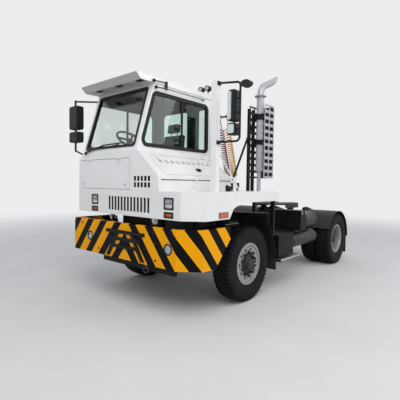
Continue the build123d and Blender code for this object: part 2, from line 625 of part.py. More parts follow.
FRONT_HATCH = [(-1130, DECK_TOP + 7), (35, DECK_TOP + 7), (35, BELT_Z - 103), (-1130, BELT_Z - 103)]
SLOPE_DOWN = Vector(0, SHOULDER_Y - CAB_LEFT_Y, SHOULDER_Z - BELT_Z).normalized()
side_hatch_top = (Vector(0, SHOULDER_Y, SHOULDER_Z) - SLOPE_DOWN * HATCH_HEAD
                  + SLOPE_PLANE.z_dir * HINGE_OUT)
FRONT_HINGES = [Plane(origin=(PANEL_X + HINGE_OUT, y, FRONT_HATCH[2][1]), x_dir=(0, 0, -1),
                      z_dir=(0, -1, 0)) for y in (-900, -195)]
SIDE_HINGES = [Plane(origin=(x, side_hatch_top.Y, side_hatch_top.Z), x_dir=SLOPE_DOWN, z_dir=(1, 0, 0))
               for x in (HATCH_X[0] + 250, HATCH_X[1] - 250)]
DOOR_HINGES = [Plane(origin=(CAB_REAR_X - HINGE_OUT, DOOR_Y[0], z), x_dir=(0, 1, 0), z_dir=(0, 0, 1))
               for z in (DOOR_Z[0] + 200, DOOR_Z[1] - 200)]
with BuildPart() as cab_shell:
    with BuildSketch(front_plane(CAB_REAR_X)):
        outline(LOWER_SECTION)
    extrude(amount=PANEL_X - CAB_REAR_X)
    with BuildSketch(side_plane(CAB_LEFT_Y)):
        outline([(CAB_REAR_X, BELT_Z), (PANEL_X, BELT_Z), (SCREEN_TOP_X, ROOF_UNDER),
                 (CAB_REAR_X, ROOF_UNDER)])
    extrude(amount=CAB_LEFT_Y - CAB_RIGHT_Y)
    with BuildSketch(front_plane(CAB_REAR_X + WALL)):
        outline(DRIVER_SPACE)
        outline(ENGINE_SPACE)
    extrude(amount=PANEL_X - CAB_REAR_X - 2 * WALL, mode=Mode.SUBTRACT)
    with BuildSketch(side_plane(CAB_LEFT_Y - WALL)):
        outline([(CAB_REAR_X + WALL, BELT_Z - 1), (PANEL_X - WALL, BELT_Z - 1), (PANEL_X - WALL, BELT_Z),
                 (SCREEN_TOP_X - WALL, ROOF_UNDER), (CAB_REAR_X + WALL, ROOF_UNDER)])
    extrude(amount=CAB_LEFT_Y - CAB_RIGHT_Y - 2 * WALL, mode=Mode.SUBTRACT)
    for plane, corners, outward, radius, seal in WINDOWS:
        with BuildSketch(plane):
            outline(corners, radius)
        extrude(amount=60, both=True, mode=Mode.SUBTRACT)
    with BuildSketch(front_plane(CAB_REAR_X)):
        outline(DOORWAY)
    extrude(amount=WALL, mode=Mode.SUBTRACT)
    with BuildSketch(front_plane(PANEL_X)):
        outline(FRONT_HATCH)
    extrude(amount=-WALL, mode=Mode.SUBTRACT)
    with BuildSketch(SLOPE_PLANE):
        outline(SIDE_HATCH)
    extrude(amount=60, both=True, mode=Mode.SUBTRACT)
    with BuildSketch(front_plane(PANEL_X)):
        with Locations((280, DECK_TOP + 115)):
            with GridLocations(SLOT_PITCH, 82, 5, 2):
                Rectangle(46, 64)
    extrude(amount=-WALL, mode=Mode.SUBTRACT)
    for plane in FRONT_HINGES + SIDE_HINGES + DOOR_HINGES:
        hinge_pin(plane)
save(cab_shell.part, "cab_shell")

# Panes and their seals; the side windows have a bar between their two panes
with BuildPart() as window_seals:
    for plane, corners, outward, radius, seal in WINDOWS:
        for depth in (outward * SEAL_PROUD, -outward * WALL):
            with BuildSketch(plane):
                outline(corners, radius)
                offset(amount=-seal, mode=Mode.SUBTRACT)
            extrude(amount=depth)
        if corners is SIDE_WINDOW:
            with BuildSketch(plane.offset(outward * (GLASS + FIT_GAP - WALL / 2))):
                with Locations((DIVIDER_X, (SIDE_LOW + SIDE_HIGH) / 2)):
                    Rectangle(DIVIDER, SIDE_HIGH - SIDE_LOW - 2 * seal + 4)
            extrude(amount=outward * (SEAL_PROUD + WALL / 2 - GLASS - FIT_GAP))
save(window_seals.part, "window_seals")

with BuildPart() as cab_glass:
    for plane, corners, outward, radius, seal in WINDOWS:
        with BuildSketch(plane.offset(-outward * WALL / 2)):
            outline(corners, radius)
            offset(amount=-seal, kind=Kind.ARC)
        extrude(amount=outward * GLASS)
save(cab_glass.part, "cab_glass")

# Roof with the visor that leans out over the windscreen, and its places for three lamps
VISOR_LAMPS = [(FRONT_AXLE_X + 1140, y) for y in (-806, -328, 108)]
with BuildPart() as cab_roof:
    with BuildSketch(side_plane(CAB_LEFT_Y + 12)):
        outline([(CAB_REAR_X - 20, ROOF_UNDER), (VISOR_LOW_X, ROOF_UNDER), (VISOR_TIP_X, ROOF_TOP),
                 (CAB_REAR_X - 20, ROOF_TOP)])
    extrude(amount=CAB_LEFT_Y - CAB_RIGHT_Y + 24)
    with BuildSketch(Plane.XY.offset(ROOF_UNDER)):
        with Locations(*VISOR_LAMPS):
            Rectangle(60, 120)
    extrude(amount=20, mode=Mode.SUBTRACT)
save(cab_roof.part, "cab_roof")

# Hatches and door
with BuildPart() as front_hatch:
    with BuildSketch(front_plane(PANEL_X)):
        outline(FRONT_HATCH)
        offset(amount=-DOOR_GAP, mode=Mode.REPLACE)
    extrude(amount=-WALL)
    for plane in FRONT_HINGES:
        hinge_eye(plane)
save(front_hatch.part, "front_hatch")

with BuildPart() as side_hatch:
    with BuildSketch(SLOPE_PLANE):
        outline(SIDE_HATCH)
        offset(amount=-DOOR_GAP, mode=Mode.REPLACE)
    extrude(amount=-25)
    with BuildSketch(SLOPE_PLANE):
        with Locations(((HATCH_X[0] + HATCH_X[1]) / 2, -300)):
            with GridLocations(108, 34, 11, 2):
                Rectangle(66, 14)
    extrude(amount=-25, mode=Mode.SUBTRACT)
    for plane in SIDE_HINGES:
        hinge_eye(plane)
save(side_hatch.part, "side_hatch")

with BuildPart() as rear_door:
    with BuildSketch(front_plane(CAB_REAR_X)):
        outline(DOORWAY)
        offset(amount=-DOOR_GAP, mode=Mode.REPLACE)
    extrude(amount=WALL)
    with BuildSketch(front_plane(CAB_REAR_X)):
        outline(DOOR_PANE, WIN_RADIUS)
    extrude(amount=WALL, mode=Mode.SUBTRACT)
    for plane in DOOR_HINGES:
        hinge_eye(plane)
save(rear_door.part, "rear_door")

with BuildPart() as door_glass:
    with BuildSketch(front_plane(CAB_REAR_X + WALL / 2)):
        outline(DOOR_PANE, WIN_RADIUS)
    extrude(amount=GLASS)
save(door_glass.part, "door_glass")

# Lamps
with BuildPart() as headlamps:
    with BuildSketch(front_plane(PANEL_X - WALL)):
        for side in (-1, 1):
            with Locations((side * LAMP_Y, HEADLAMP_Z)):
                Rectangle(HEADLAMP_W, HEADLAMP_H)
    extrude(amount=WALL + 6)
save(headlamps.part, "headlamps")

with BuildPart() as indicators:
    with BuildSketch(front_plane(PANEL_X - WALL)):
        for side in (-1, 1):
            with Locations((side * LAMP_Y, INDICATOR_Z)):
                Rectangle(INDICATOR_W, INDICATOR_H)
    extrude(amount=WALL + 6)
    with BuildSketch(side_plane(BODY_SIDE_Y)):
        with Locations((FRONT_AXLE_X + 720, 1260)):
            Rectangle(190, 70)
    extrude(amount=-16)
save(indicators.part, "indicators")

# Seat and controls
SEAT_X, SEAT_Y, SEAT_Z = CAB_REAR_X + 230, -450, FLOOR_TOP + 360
with BuildPart() as seat:
    with BuildSketch(side_plane(SEAT_Y)):
        outline([(SEAT_X + 30, SEAT_Z), (SEAT_X + 530, SEAT_Z), (SEAT_X + 530, SEAT_Z + 120),
                 (SEAT_X + 130, SEAT_Z + 120), (SEAT_X + 40, SEAT_Z + 690), (SEAT_X - 60, SEAT_Z + 690),
                 (SEAT_X, SEAT_Z + 90)], 20)
    extrude(amount=240, both=True)
    with BuildSketch(side_plane(SEAT_Y)):
        outline([(SEAT_X + 90, FLOOR_TOP), (SEAT_X + 470, FLOOR_TOP), (SEAT_X + 410, SEAT_Z),
                 (SEAT_X + 150, SEAT_Z)])
    extrude(amount=150, both=True)
save(seat.part, "seat")

# Steering wheel, square to its column, and the dashboard with a face square to it too
WHEEL_X, WHEEL_Z = PANEL_X - 395, BELT_Z + 192
WHEEL_LEAN = 30
COLUMN = 240
column_x, column_z = sin(radians(WHEEL_LEAN)), -cos(radians(WHEEL_LEAN))
foot_x, foot_z = WHEEL_X + COLUMN * column_x, WHEEL_Z + COLUMN * column_z
with BuildPart() as dashboard:
    with BuildSketch(side_plane(SEAT_Y)):
        outline([(PANEL_X - WALL, FLOOR_TOP + 110), (PANEL_X - WALL, BELT_Z - 18),
                 (foot_x - 110 * column_z, foot_z + 110 * column_x),
                 (foot_x + 60 * column_z, foot_z - 60 * column_x),
                 (PANEL_X - 325, BELT_Z - 118), (PANEL_X - 145, BELT_Z - 278)])
    extrude(amount=560, both=True)
save(dashboard.part, "dashboard")

with BuildPart() as steering_wheel:
    rim_plane = Plane(origin=(WHEEL_X, SEAT_Y, WHEEL_Z), x_dir=(0, 1, 0), z_dir=(-column_x, 0, -column_z))
    with BuildSketch(Plane(origin=rim_plane.origin, x_dir=rim_plane.x_dir, z_dir=rim_plane.y_dir)):
        with Locations((210, 0)):
            Circle(16)
    revolve(axis=Axis(rim_plane.origin, rim_plane.z_dir))
    with BuildSketch(rim_plane.offset(-12)):
        for angle in (0, 120, 240):
            with Locations(Location((0, 0, 0), (0, 0, angle))):
                with Locations((0, 105)):
                    Rectangle(30, 205)
        Circle(40)
    extrude(amount=20)
    with BuildSketch(rim_plane):
        Circle(28)
    extrude(amount=-COLUMN)
save(steering_wheel.part, "steering_wheel")

# Mirror post with its gusset and its stays, on the deck
POST_X, POST_Y, POST_SIZE, POST_TOP = FRONT_AXLE_X + 752, 1080, 80, 2890
with BuildPart() as mirror_post:
    with BuildSketch(Plane.XY.offset(DECK_TOP)):
        with Locations((POST_X, POST_Y)):
            Rectangle(POST_SIZE, POST_SIZE)
    extrude(amount=POST_TOP - DECK_TOP)
    with BuildSketch(side_plane(POST_Y)):
        outline([(POST_X, POST_TOP - 290), (POST_X - 130, POST_TOP - 145), (POST_X, POST_TOP - 130)])
    extrude(amount=5, both=True)
    for foot_x, foot_y in ((POST_X - 549, POST_Y), (POST_X, HOOD_FOOT_Y + 100)):
        with BuildSketch(Plane.XY.offset(DECK_TOP)):
            with Locations((foot_x, foot_y)):
                Rectangle(46, 46)
        extrude(amount=14)
        bar((foot_x, foot_y, DECK_TOP + 10), (POST_X, POST_Y, 2100), 9)
save(mirror_post.part, "mirror_post")

# Mirrors: left ones on a bent tube on the post, right ones on the cab's corner
UPPER_ARM_Z, LOWER_ARM_Z = 2860, 2148
ROOT_Y = POST_Y + POST_SIZE / 2 + 8
MIRROR_BAR = 13
MIRROR_DEPTH = 90
LEFT_BAR_Y = 1435
OVAL_Z = 2768
RIGHT_BAR_X, RIGHT_BAR_Y = FRONT_AXLE_X + 1130, 130 - MIRROR_REACH
RIGHT_ARM_Z = 2935
with BuildPart() as mirrors:
    with BuildLine() as tube:
        FilletPolyline((POST_X, ROOT_Y, UPPER_ARM_Z), (POST_X, LEFT_BAR_Y, UPPER_ARM_Z - 36),
                       (POST_X, LEFT_BAR_Y, LOWER_ARM_Z), (POST_X, ROOT_Y, LOWER_ARM_Z), radius=50)
    with BuildSketch(Plane(origin=tube.line @ 0, z_dir=tube.line % 0)):
        Circle(MIRROR_BAR)
    sweep()
    for z in (UPPER_ARM_Z, LOWER_ARM_Z):
        with Locations((POST_X, ROOT_Y, z)):
            Box(60, 16, 44)
    bar((RIGHT_BAR_X - 190, CAB_RIGHT_Y - 6, RIGHT_ARM_Z - 30), (RIGHT_BAR_X, RIGHT_BAR_Y, RIGHT_ARM_Z),
        MIRROR_BAR)
    bar((RIGHT_BAR_X, RIGHT_BAR_Y, RIGHT_ARM_Z + 16), (RIGHT_BAR_X, RIGHT_BAR_Y, LOWER_ARM_Z - 16),
        MIRROR_BAR + 3)
    bar((RIGHT_BAR_X, RIGHT_BAR_Y, LOWER_ARM_Z), (RIGHT_BAR_X, BODY_RIGHT_Y + 60, 2035), MIRROR_BAR)
    for x, y, z, height, width in ((POST_X, LEFT_BAR_Y - 96, 2562, 367, 120),
                                   (POST_X, LEFT_BAR_Y - 96, 2290, 140, 128),
                                   (RIGHT_BAR_X, RIGHT_BAR_Y, 2672, 370, 260),
                                   (RIGHT_BAR_X, RIGHT_BAR_Y, 2365, 170, 260)):
        with BuildSketch(front_plane(x + 30)):
            with Locations((y, z)):
                RectangleRounded(width, height, 35)
        extrude(amount=-MIRROR_DEPTH)
    for z in (2640, 2480, 2290):
        bar((POST_X, LEFT_BAR_Y - 50, z), (POST_X, LEFT_BAR_Y, z), 10)
    with BuildSketch(front_plane(POST_X + 22)):
        with Locations((MIRROR_REACH - 66, OVAL_Z)):
            Ellipse(66, 40)
    extrude(amount=70)
    bar((POST_X, LEFT_BAR_Y, OVAL_Z), (POST_X + 60, MIRROR_REACH - 100, OVAL_Z), 9)
save(mirrors.part, "mirrors")

# Lamps under the visor and two round work lamps on stalks on the roof
WORK_LAMP_Z = 3180
with BuildPart() as roof_lamps:
    with BuildSketch(Plane.XY.offset(ROOF_UNDER - 4)):
        with Locations(*VISOR_LAMPS):
            Rectangle(60 - 2 * FIT_GAP, 120 - 2 * FIT_GAP)
    extrude(amount=24)
    for y in (110, -30):
        with BuildSketch(front_plane(CAB_REAR_X + 35)):
            with Locations((y, WORK_LAMP_Z)):
                Circle(45)
        extrude(amount=-60)
        bar((CAB_REAR_X + 5, y, ROOF_TOP), (CAB_REAR_X + 5, y, WORK_LAMP_Z), 8)
save(roof_lamps.part, "roof_lamps")

# Rail along the roof's left edge, with two knobs at its front end
ROOF_SIDE_Y = CAB_LEFT_Y + 12
RAIL_Y, RAIL_Z = ROOF_SIDE_Y + 24, 2940
RAIL_FOOT_X = FRONT_AXLE_X + 745
with BuildPart() as roof_rail:
    with BuildSketch(side_plane(ROOF_SIDE_Y)):
        with Locations((RAIL_FOOT_X, 2985)):
            Rectangle(34, 110)
    extrude(amount=-20)
    bar((RAIL_FOOT_X, RAIL_Y, 3020), (FRONT_AXLE_X + 984, RAIL_Y, 3005), 7)
    bar((RAIL_FOOT_X, RAIL_Y, RAIL_Z), (FRONT_AXLE_X + 945, RAIL_Y, 2925), 7)
    bar((RAIL_FOOT_X, RAIL_Y, RAIL_Z), (FRONT_AXLE_X - 61, RAIL_Y, RAIL_Z), 6)
    for x, z in ((FRONT_AXLE_X + 984, 3005), (FRONT_AXLE_X + 945, 2925)):
        with Locations((x, RAIL_Y, z)):
            Sphere(23)
    bar((FRONT_AXLE_X - 55, CAB_LEFT_Y, RAIL_Z), (FRONT_AXLE_X - 55, RAIL_Y + 8, RAIL_Z), 9)
save(roof_rail.part, "roof_rail")

# Wiper on the windscreen
with BuildPart() as wiper:
    with BuildSketch(SCREEN_PLANE.offset(SEAL_PROUD + 4)):
        with BuildLine():
            Polyline((-1000, -22), (-1000, 5), (-560, 100), (-120, 110), (-120, 96), (-560, 84),
                     (-985, -10), close=True)
        make_face()
    extrude(amount=14)
    with BuildSketch(SCREEN_PLANE):
        with Locations((-992, -12)):
            Circle(18)
    extrude(amount=SEAL_PROUD + 18)
save(wiper.part, "wiper")

# Deck beside and behind the cab, with its edge beam and the upright that takes the exhaust strut
STRUT_Y, STRUT_RADIUS = 816, 16
DECK_FRONT_X, DECK_STEP_X = BODY_DECK_X - 6, CAB_REAR_X - 10
with BuildPart() as deck:
    with BuildSketch(Plane.XY.offset(DECK_TOP - DECK_PLATE)):
        outline([(DECK_REAR_X, DECK_RIGHT_Y), (DECK_STEP_X, DECK_RIGHT_Y), (DECK_STEP_X, HOOD_FOOT_Y + 10),
                 (DECK_FRONT_X, HOOD_FOOT_Y + 10), (DECK_FRONT_X, BODY_SIDE_Y), (DECK_REAR_X, BODY_SIDE_Y)])
    extrude(amount=DECK_PLATE)
    for x, y, length, width in (((DECK_REAR_X + DECK_FRONT_X) / 2, BODY_SIDE_Y - 20,
                                 DECK_FRONT_X - DECK_REAR_X, 40),
                                (DECK_REAR_X + 20, 0, 40, BODY_SIDE_Y - DECK_RIGHT_Y),
                                ((DECK_REAR_X + DECK_STEP_X) / 2, DECK_RIGHT_Y + 20,
                                 DECK_STEP_X - DECK_REAR_X, 40)):
        with BuildSketch(Plane.XY.offset(DECK_BEAM_BOTTOM)):
            with Locations((x, y)):
                Rectangle(length, width)
        extrude(amount=DECK_TOP - DECK_BEAM_BOTTOM)
    with BuildSketch(Plane.XY.offset(DECK_TOP)):
        with Locations((FRONT_AXLE_X - 30, STRUT_Y + STRUT_RADIUS + FIT_GAP + 6)):
            Rectangle(70, 12)
    extrude(amount=195)
save(deck.part, "deck")

# Deck posts: full ones on outriggers from the rails, and a short one on the left fender's top
OUTRIGGER_Z = RAIL_TOP - 120
POST_INSET = 66
DECK_POST = 50
REAR_POST_X = DECK_REAR_X + 66
FENDER_POST_X = FRONT_AXLE_X - 90
with BuildPart() as deck_posts:
    for side in (-1, 1):
        with BuildSketch(Plane.XY.offset(OUTRIGGER_Z)):
            with Locations((REAR_POST_X, side * (BODY_SIDE_Y - POST_INSET))):
                Rectangle(DECK_POST, DECK_POST)
        extrude(amount=DECK_TOP - DECK_PLATE - OUTRIGGER_Z)
        with BuildSketch(Plane.XY.offset(OUTRIGGER_Z)):
            with Locations((REAR_POST_X, side * (RAIL_OUTER_Y + BODY_SIDE_Y - 41) / 2)):
                Rectangle(60, BODY_SIDE_Y - 41 - RAIL_OUTER_Y)
        extrude(amount=80)
    fender_slope = (FENDER_LINE[0][1] - FENDER_LINE[1][1]) / (FENDER_LINE[0][0] - FENDER_LINE[1][0])
    fender_z = FENDER_LINE[1][1] + fender_slope * (FENDER_POST_X + 20 - FENDER_LINE[1][0]) + FENDER + 1
    with BuildSketch(Plane.XY.offset(fender_z)):
        with Locations((FENDER_POST_X, BODY_SIDE_Y - POST_INSET)):
            Rectangle(40, 40)
    extrude(amount=DECK_TOP - DECK_PLATE - fender_z)
save(deck_posts.part, "deck_posts")

# Exhaust: thin pipe up from the deck, stack with a flange, and a bent tip with a slanted end
STACK_X, STACK_Y, STACK_RADIUS = FRONT_AXLE_X - 475, 970, 54
STACK_FOOT, STACK_TOP = 1840, 2960
TIP_RADIUS = 190
TIP_BEND = 65
TIP_LENGTH = 334
TIP_CUT = (-0.795, 0, -0.607)
with BuildPart() as exhaust_stack:
    for low, high, radius in ((DECK_TOP, STACK_FOOT, 30), (STACK_FOOT, STACK_TOP, STACK_RADIUS),
                              (STACK_TOP, STACK_TOP + 12, STACK_RADIUS + 34)):
        bar((STACK_X, STACK_Y, low), (STACK_X, STACK_Y, high), radius)
    with BuildSketch(Plane.XY.offset(STACK_TOP + 12)):
        with Locations((STACK_X, STACK_Y)):
            Circle(STACK_RADIUS - 4)
    revolve(axis=Axis((STACK_X - TIP_RADIUS, STACK_Y, STACK_TOP + 12), (0, -1, 0)), revolution_arc=TIP_BEND)
    tip_plane = Plane(origin=(STACK_X - TIP_RADIUS + TIP_RADIUS * cos(radians(TIP_BEND)), STACK_Y,
                              STACK_TOP + 12 + TIP_RADIUS * sin(radians(TIP_BEND))),
                      x_dir=(0, 1, 0), z_dir=(-sin(radians(TIP_BEND)), 0, cos(radians(TIP_BEND))))
    with BuildSketch(tip_plane):
        Circle(STACK_RADIUS - 4)
    extrude(amount=TIP_LENGTH + 120)
    with Locations(Plane(origin=tip_plane.origin + tip_plane.z_dir * TIP_LENGTH, z_dir=TIP_CUT).location):
        Box(400, 400, 200, align=(Align.CENTER, Align.CENTER, Align.MIN), mode=Mode.SUBTRACT)
save(exhaust_stack.part, "exhaust_stack")

# Exhaust guard: slotted plates inside and outside and a back, open to the front
GUARD_X = (FRONT_AXLE_X - 672, FRONT_AXLE_X - 387)
GUARD_Y = (840, 1100)
GUARD_Z = (1740, 2830)
with BuildPart() as exhaust_guard:
    for y in GUARD_Y:
        with BuildSketch(side_plane(y)):
            with Locations(((GUARD_X[0] + GUARD_X[1]) / 2, (GUARD_Z[0] + GUARD_Z[1]) / 2)):
                Rectangle(GUARD_X[1] - GUARD_X[0], GUARD_Z[1] - GUARD_Z[0])
                with GridLocations(137, 98, 2, 11):
                    Rectangle(112, 56, mode=Mode.SUBTRACT)
        extrude(amount=4)
    with BuildSketch(front_plane(GUARD_X[0])):
        with Locations(((GUARD_Y[0] + GUARD_Y[1]) / 2 - 2, (GUARD_Z[0] + GUARD_Z[1]) / 2)):
            Rectangle(GUARD_Y[1] - GUARD_Y[0] - 4, GUARD_Z[1] - GUARD_Z[0])
    extrude(amount=4)
save(exhaust_guard.part, "exhaust_guard")

# Exhaust frame: two legs on the deck, two clamps on arms, and the slanted strut to the front
LEG = 40
with BuildPart() as exhaust_frame:
    for x in (STACK_X - 60, STACK_X + 60):
        with BuildSketch(Plane.XY.offset(DECK_TOP)):
            with Locations((x, STRUT_Y)):
                Rectangle(LEG, LEG)
        extrude(amount=GUARD_Z[1] - LEG - DECK_TOP)
    for low, high in ((2240, 2313), (2612, 2697)):
        with BuildSketch(Plane.XY.offset(low)):
            with Locations((STACK_X, STACK_Y)):
                Circle(STACK_RADIUS + 12)
                Circle(STACK_RADIUS, mode=Mode.SUBTRACT)
            with Locations((STACK_X, (GUARD_Y[0] + STACK_Y - STACK_RADIUS - 2) / 2)):
                Rectangle(60, STACK_Y - STACK_RADIUS - 2 - GUARD_Y[0])
        extrude(amount=high - low)
    bar((FRONT_AXLE_X - 581, STRUT_Y, 2693), (FRONT_AXLE_X - 3, STRUT_Y, 1700), STRUT_RADIUS)
save(exhaust_frame.part, "exhaust_frame")

# Boxes, tanks and step along the sides
with BuildPart() as battery_box:
    with BuildSketch(Plane.XY.offset(865)):
        with Locations((FRONT_AXLE_X - 1610, 900)):
            Rectangle(225, 600)
    extrude(amount=320)
save(battery_box.part, "battery_box")

with BuildPart() as step_box:
    with BuildSketch(Plane.XY.offset(520)):
        with Locations((FRONT_AXLE_X - 995, 990)):
            Rectangle(508, 400)
    extrude(amount=340)
    with BuildSketch(Plane.XY.offset(430)):
        with Locations((FRONT_AXLE_X - 1150, 1080)):
            Rectangle(700, 250)
    extrude(amount=30)
    for x in (FRONT_AXLE_X - 900, FRONT_AXLE_X - 1150):
        with BuildSketch(Plane.XY.offset(460)):
            with Locations((x, 1000)):
                Rectangle(40, 60)
        extrude(amount=60)
    with BuildSketch(Plane.XY.offset(760)):
        with Locations((FRONT_AXLE_X - 990, (RAIL_OUTER_Y + 790) / 2)):
            Rectangle(80, 790 - RAIL_OUTER_Y)
    extrude(amount=80)
save(step_box.part, "step_box")


def tank(x0, x1, y, z, radius, dish):
    """A tank lying along X with rounded ends, in the part that is open."""
    with Locations(Plane(origin=(x0, y, z), z_dir=(1, 0, 0)).location):
        piece = Cylinder(radius, x1 - x0, align=(Align.CENTER, Align.CENTER, Align.MIN))
    fillet(piece.edges().filter_by(GeomType.CIRCLE), dish)


with BuildPart() as air_tanks:
    tank(FRONT_AXLE_X - 2330, FRONT_AXLE_X - 1740, 1010, 1000, 150, 60)
    tank(FRONT_AXLE_X - 2400, FRONT_AXLE_X - 1400, 1010, 680, 130, 60)
save(air_tanks.part, "air_tanks")

with BuildPart() as fuel_tank:
    with BuildSketch(front_plane(FRONT_AXLE_X - 1900)):
        with Locations((-850, 760)):
            RectangleRounded(560, 520, 90)
    extrude(amount=1050)
save(fuel_tank.part, "fuel_tank")

# Rear end: cross plate on the rails' ends, tail lamps on it, and the guide ramps
REAR_PLATE = 10
LAMP_FACE_X = RAIL_REAR_X - REAR_PLATE
TAIL_Z = 800
HITCH_PIN_X, HITCH_PIN_RADIUS = REAR_X + 26, 16

with BuildPart() as tail_lamps:
    for side in (-1, 1):
        with BuildSketch(front_plane(LAMP_FACE_X)):
            with Locations((side * 700, TAIL_Z)):
                Rectangle(360, 120)
        extrude(amount=-(LAMP_FACE_X - REAR_X))
save(tail_lamps.part, "tail_lamps")


# Lift boom: two arms pivoted on the rails, joined by a cross tube and a plate with the rods' lugs
ARM_Y = 300
ARM_WIDTH = 60
ARM_TOP = 1060
ARM_BOTTOM = 1002
BOSS = 52
ROD_EYE_X, ROD_EYE_Z = REAR_AXLE_X + 605, 1030
CYLINDER_Y = 170
EYE_WIDTH = 58
EYE_RADIUS = 30
LUG = 14
with BuildPart() as lift_boom:
    for side in (-1, 1):
        with BuildSketch(side_plane(side * (ARM_Y + ARM_WIDTH / 2))):
            outline([(BOOM_PIVOT_X, ARM_BOTTOM), (BOOM_PIVOT_X, BOOM_PIVOT_Z + BOSS),
                     (BOOM_PIVOT_X - 150, ARM_TOP), (COUPLING_X + 90, ARM_TOP),
                     (COUPLING_X + 50, COUPLING_PIVOT_Z),
                     (COUPLING_X - 50, COUPLING_PIVOT_Z), (COUPLING_X - 70, ARM_BOTTOM)])
            with Locations((BOOM_PIVOT_X, BOOM_PIVOT_Z), (COUPLING_X, COUPLING_PIVOT_Z)):
                Circle(BOSS)
            with Locations((COUPLING_X, COUPLING_PIVOT_Z)):
                Circle(PIN_RADIUS + FIT_GAP, mode=Mode.SUBTRACT)
        extrude(amount=side * ARM_WIDTH)
        for lug in (-1, 1):
            with BuildSketch(side_plane(side * CYLINDER_Y + lug * (EYE_WIDTH / 2 + 1) + lug * LUG)):
                outline([(ROD_EYE_X - 45, ARM_TOP), (ROD_EYE_X - 28, ROD_EYE_Z - 28),
                         (ROD_EYE_X + 28, ROD_EYE_Z - 28), (ROD_EYE_X + 45, ARM_TOP)])
            extrude(amount=lug * LUG)
    with BuildSketch(side_plane(0)):
        with Locations((BOOM_PIVOT_X - 330, BOOM_PIVOT_Z - 10)):
            Circle(38)
    extrude(amount=ARM_Y, both=True)
    with BuildSketch(Plane.XY.offset(ARM_TOP)):
        with Locations((ROD_EYE_X, 0)):
            Rectangle(150, 2 * ARM_Y + ARM_WIDTH)
        with Locations((ROD_EYE_X, -CYLINDER_Y), (ROD_EYE_X, CYLINDER_Y)):
            Rectangle(100, EYE_WIDTH + 2, mode=Mode.SUBTRACT)
    extrude(amount=14)
    with BuildSketch(side_plane(0)):
        with Locations((BOOM_PIVOT_X, BOOM_PIVOT_Z)):
            Circle(PIN_RADIUS)
    extrude(amount=ARM_Y + 95, both=True)
save(lift_boom.part, "lift_boom")

# Lift cylinders: barrels on a cross tube between the rails, rods up to the boom's lugs
CYLINDER_FOOT_X, CYLINDER_FOOT_Z = REAR_AXLE_X + 955, 800
BARREL_RADIUS = 45
ROD_RADIUS = 26
BARREL_LENGTH = 330
cylinder_run = Vector(ROD_EYE_X - CYLINDER_FOOT_X, 0, ROD_EYE_Z - CYLINDER_FOOT_Z)
cylinder_dir = cylinder_run.normalized()


def along(y, distance):
    """A point on the axis of the lift cylinder at y, by its distance from the lower pivot."""
    return Vector(CYLINDER_FOOT_X, y, CYLINDER_FOOT_Z) + cylinder_dir * distance


with BuildPart() as cylinder_barrels:
    for side in (-1, 1):
        y = side * CYLINDER_Y
        bar(along(y, 30), along(y, BARREL_LENGTH), BARREL_RADIUS)
        with BuildSketch(side_plane(y)):
            with Locations((CYLINDER_FOOT_X, CYLINDER_FOOT_Z)):
                Circle(40)
        extrude(amount=EYE_WIDTH / 2, both=True)
        with BuildSketch(side_plane(y)):
            with Locations((CYLINDER_FOOT_X, CYLINDER_FOOT_Z)):
                Circle(22 + FIT_GAP)
        extrude(amount=BARREL_RADIUS + 5, both=True, mode=Mode.SUBTRACT)
        with Locations(Plane(origin=along(y, 60), z_dir=cylinder_dir).location):
            Cylinder(ROD_RADIUS + FIT_GAP, BARREL_LENGTH, align=(Align.CENTER, Align.CENTER, Align.MIN),
                     mode=Mode.SUBTRACT)
save(cylinder_barrels.part, "cylinder_barrels")

with BuildPart() as cylinder_rods:
    for side in (-1, 1):
        y = side * CYLINDER_Y
        bar(along(y, 65), along(y, cylinder_run.length), ROD_RADIUS)
        with BuildSketch(side_plane(y)):
            with Locations((ROD_EYE_X, ROD_EYE_Z)):
                Circle(EYE_RADIUS)
        extrude(amount=EYE_WIDTH / 2, both=True)
save(cylinder_rods.part, "cylinder_rods")

# Fifth wheel: plate with its throat, feet and pins that pitch in the boom's ends
THROAT_MOUTH = 210
SKIRT = 55
PLATE_BOTTOM = COUPLING_TOP - COUPLING_PLATE
FOOT_Y = ARM_Y + ARM_WIDTH / 2 + 6
FOOT_WIDTH = 34
with BuildPart() as fifth_wheel:
    with BuildSketch(Plane.XY.offset(PLATE_BOTTOM)):
        with Locations((COUPLING_X, 0)):
            Circle(COUPLING_RADIUS)
            Circle(THROAT_RADIUS, mode=Mode.SUBTRACT)
        Polygon((COUPLING_X, -THROAT_RADIUS), (COUPLING_X, THROAT_RADIUS),
                (COUPLING_X - 150, THROAT_RADIUS), (COUPLING_X - 480, THROAT_MOUTH),
                (COUPLING_X - 480, -THROAT_MOUTH), (COUPLING_X - 150, -THROAT_RADIUS),
                align=None, mode=Mode.SUBTRACT)
    extrude(amount=COUPLING_PLATE)
    with BuildSketch(Plane.XY.offset(PLATE_BOTTOM)):
        with Locations((COUPLING_X, 0)):
            Circle(COUPLING_RADIUS)
            Circle(COUPLING_RADIUS - 12, mode=Mode.SUBTRACT)
            Rectangle(2 * COUPLING_RADIUS, 700, mode=Mode.SUBTRACT)
    extrude(amount=-SKIRT)
    for side in (-1, 1):
        with BuildSketch(side_plane(side * FOOT_Y)):
            outline([(COUPLING_X - 120, PLATE_BOTTOM), (COUPLING_X - 40, COUPLING_PIVOT_Z - 20),
                     (COUPLING_X + 40, COUPLING_PIVOT_Z - 20), (COUPLING_X + 120, PLATE_BOTTOM)])
        extrude(amount=-side * FOOT_WIDTH)
        with BuildSketch(side_plane(side * FOOT_Y)):
            with Locations((COUPLING_X, COUPLING_PIVOT_Z)):
                Circle(PIN_RADIUS)
        extrude(amount=side * (ARM_WIDTH + 6))
save(fifth_wheel.part, "fifth_wheel")

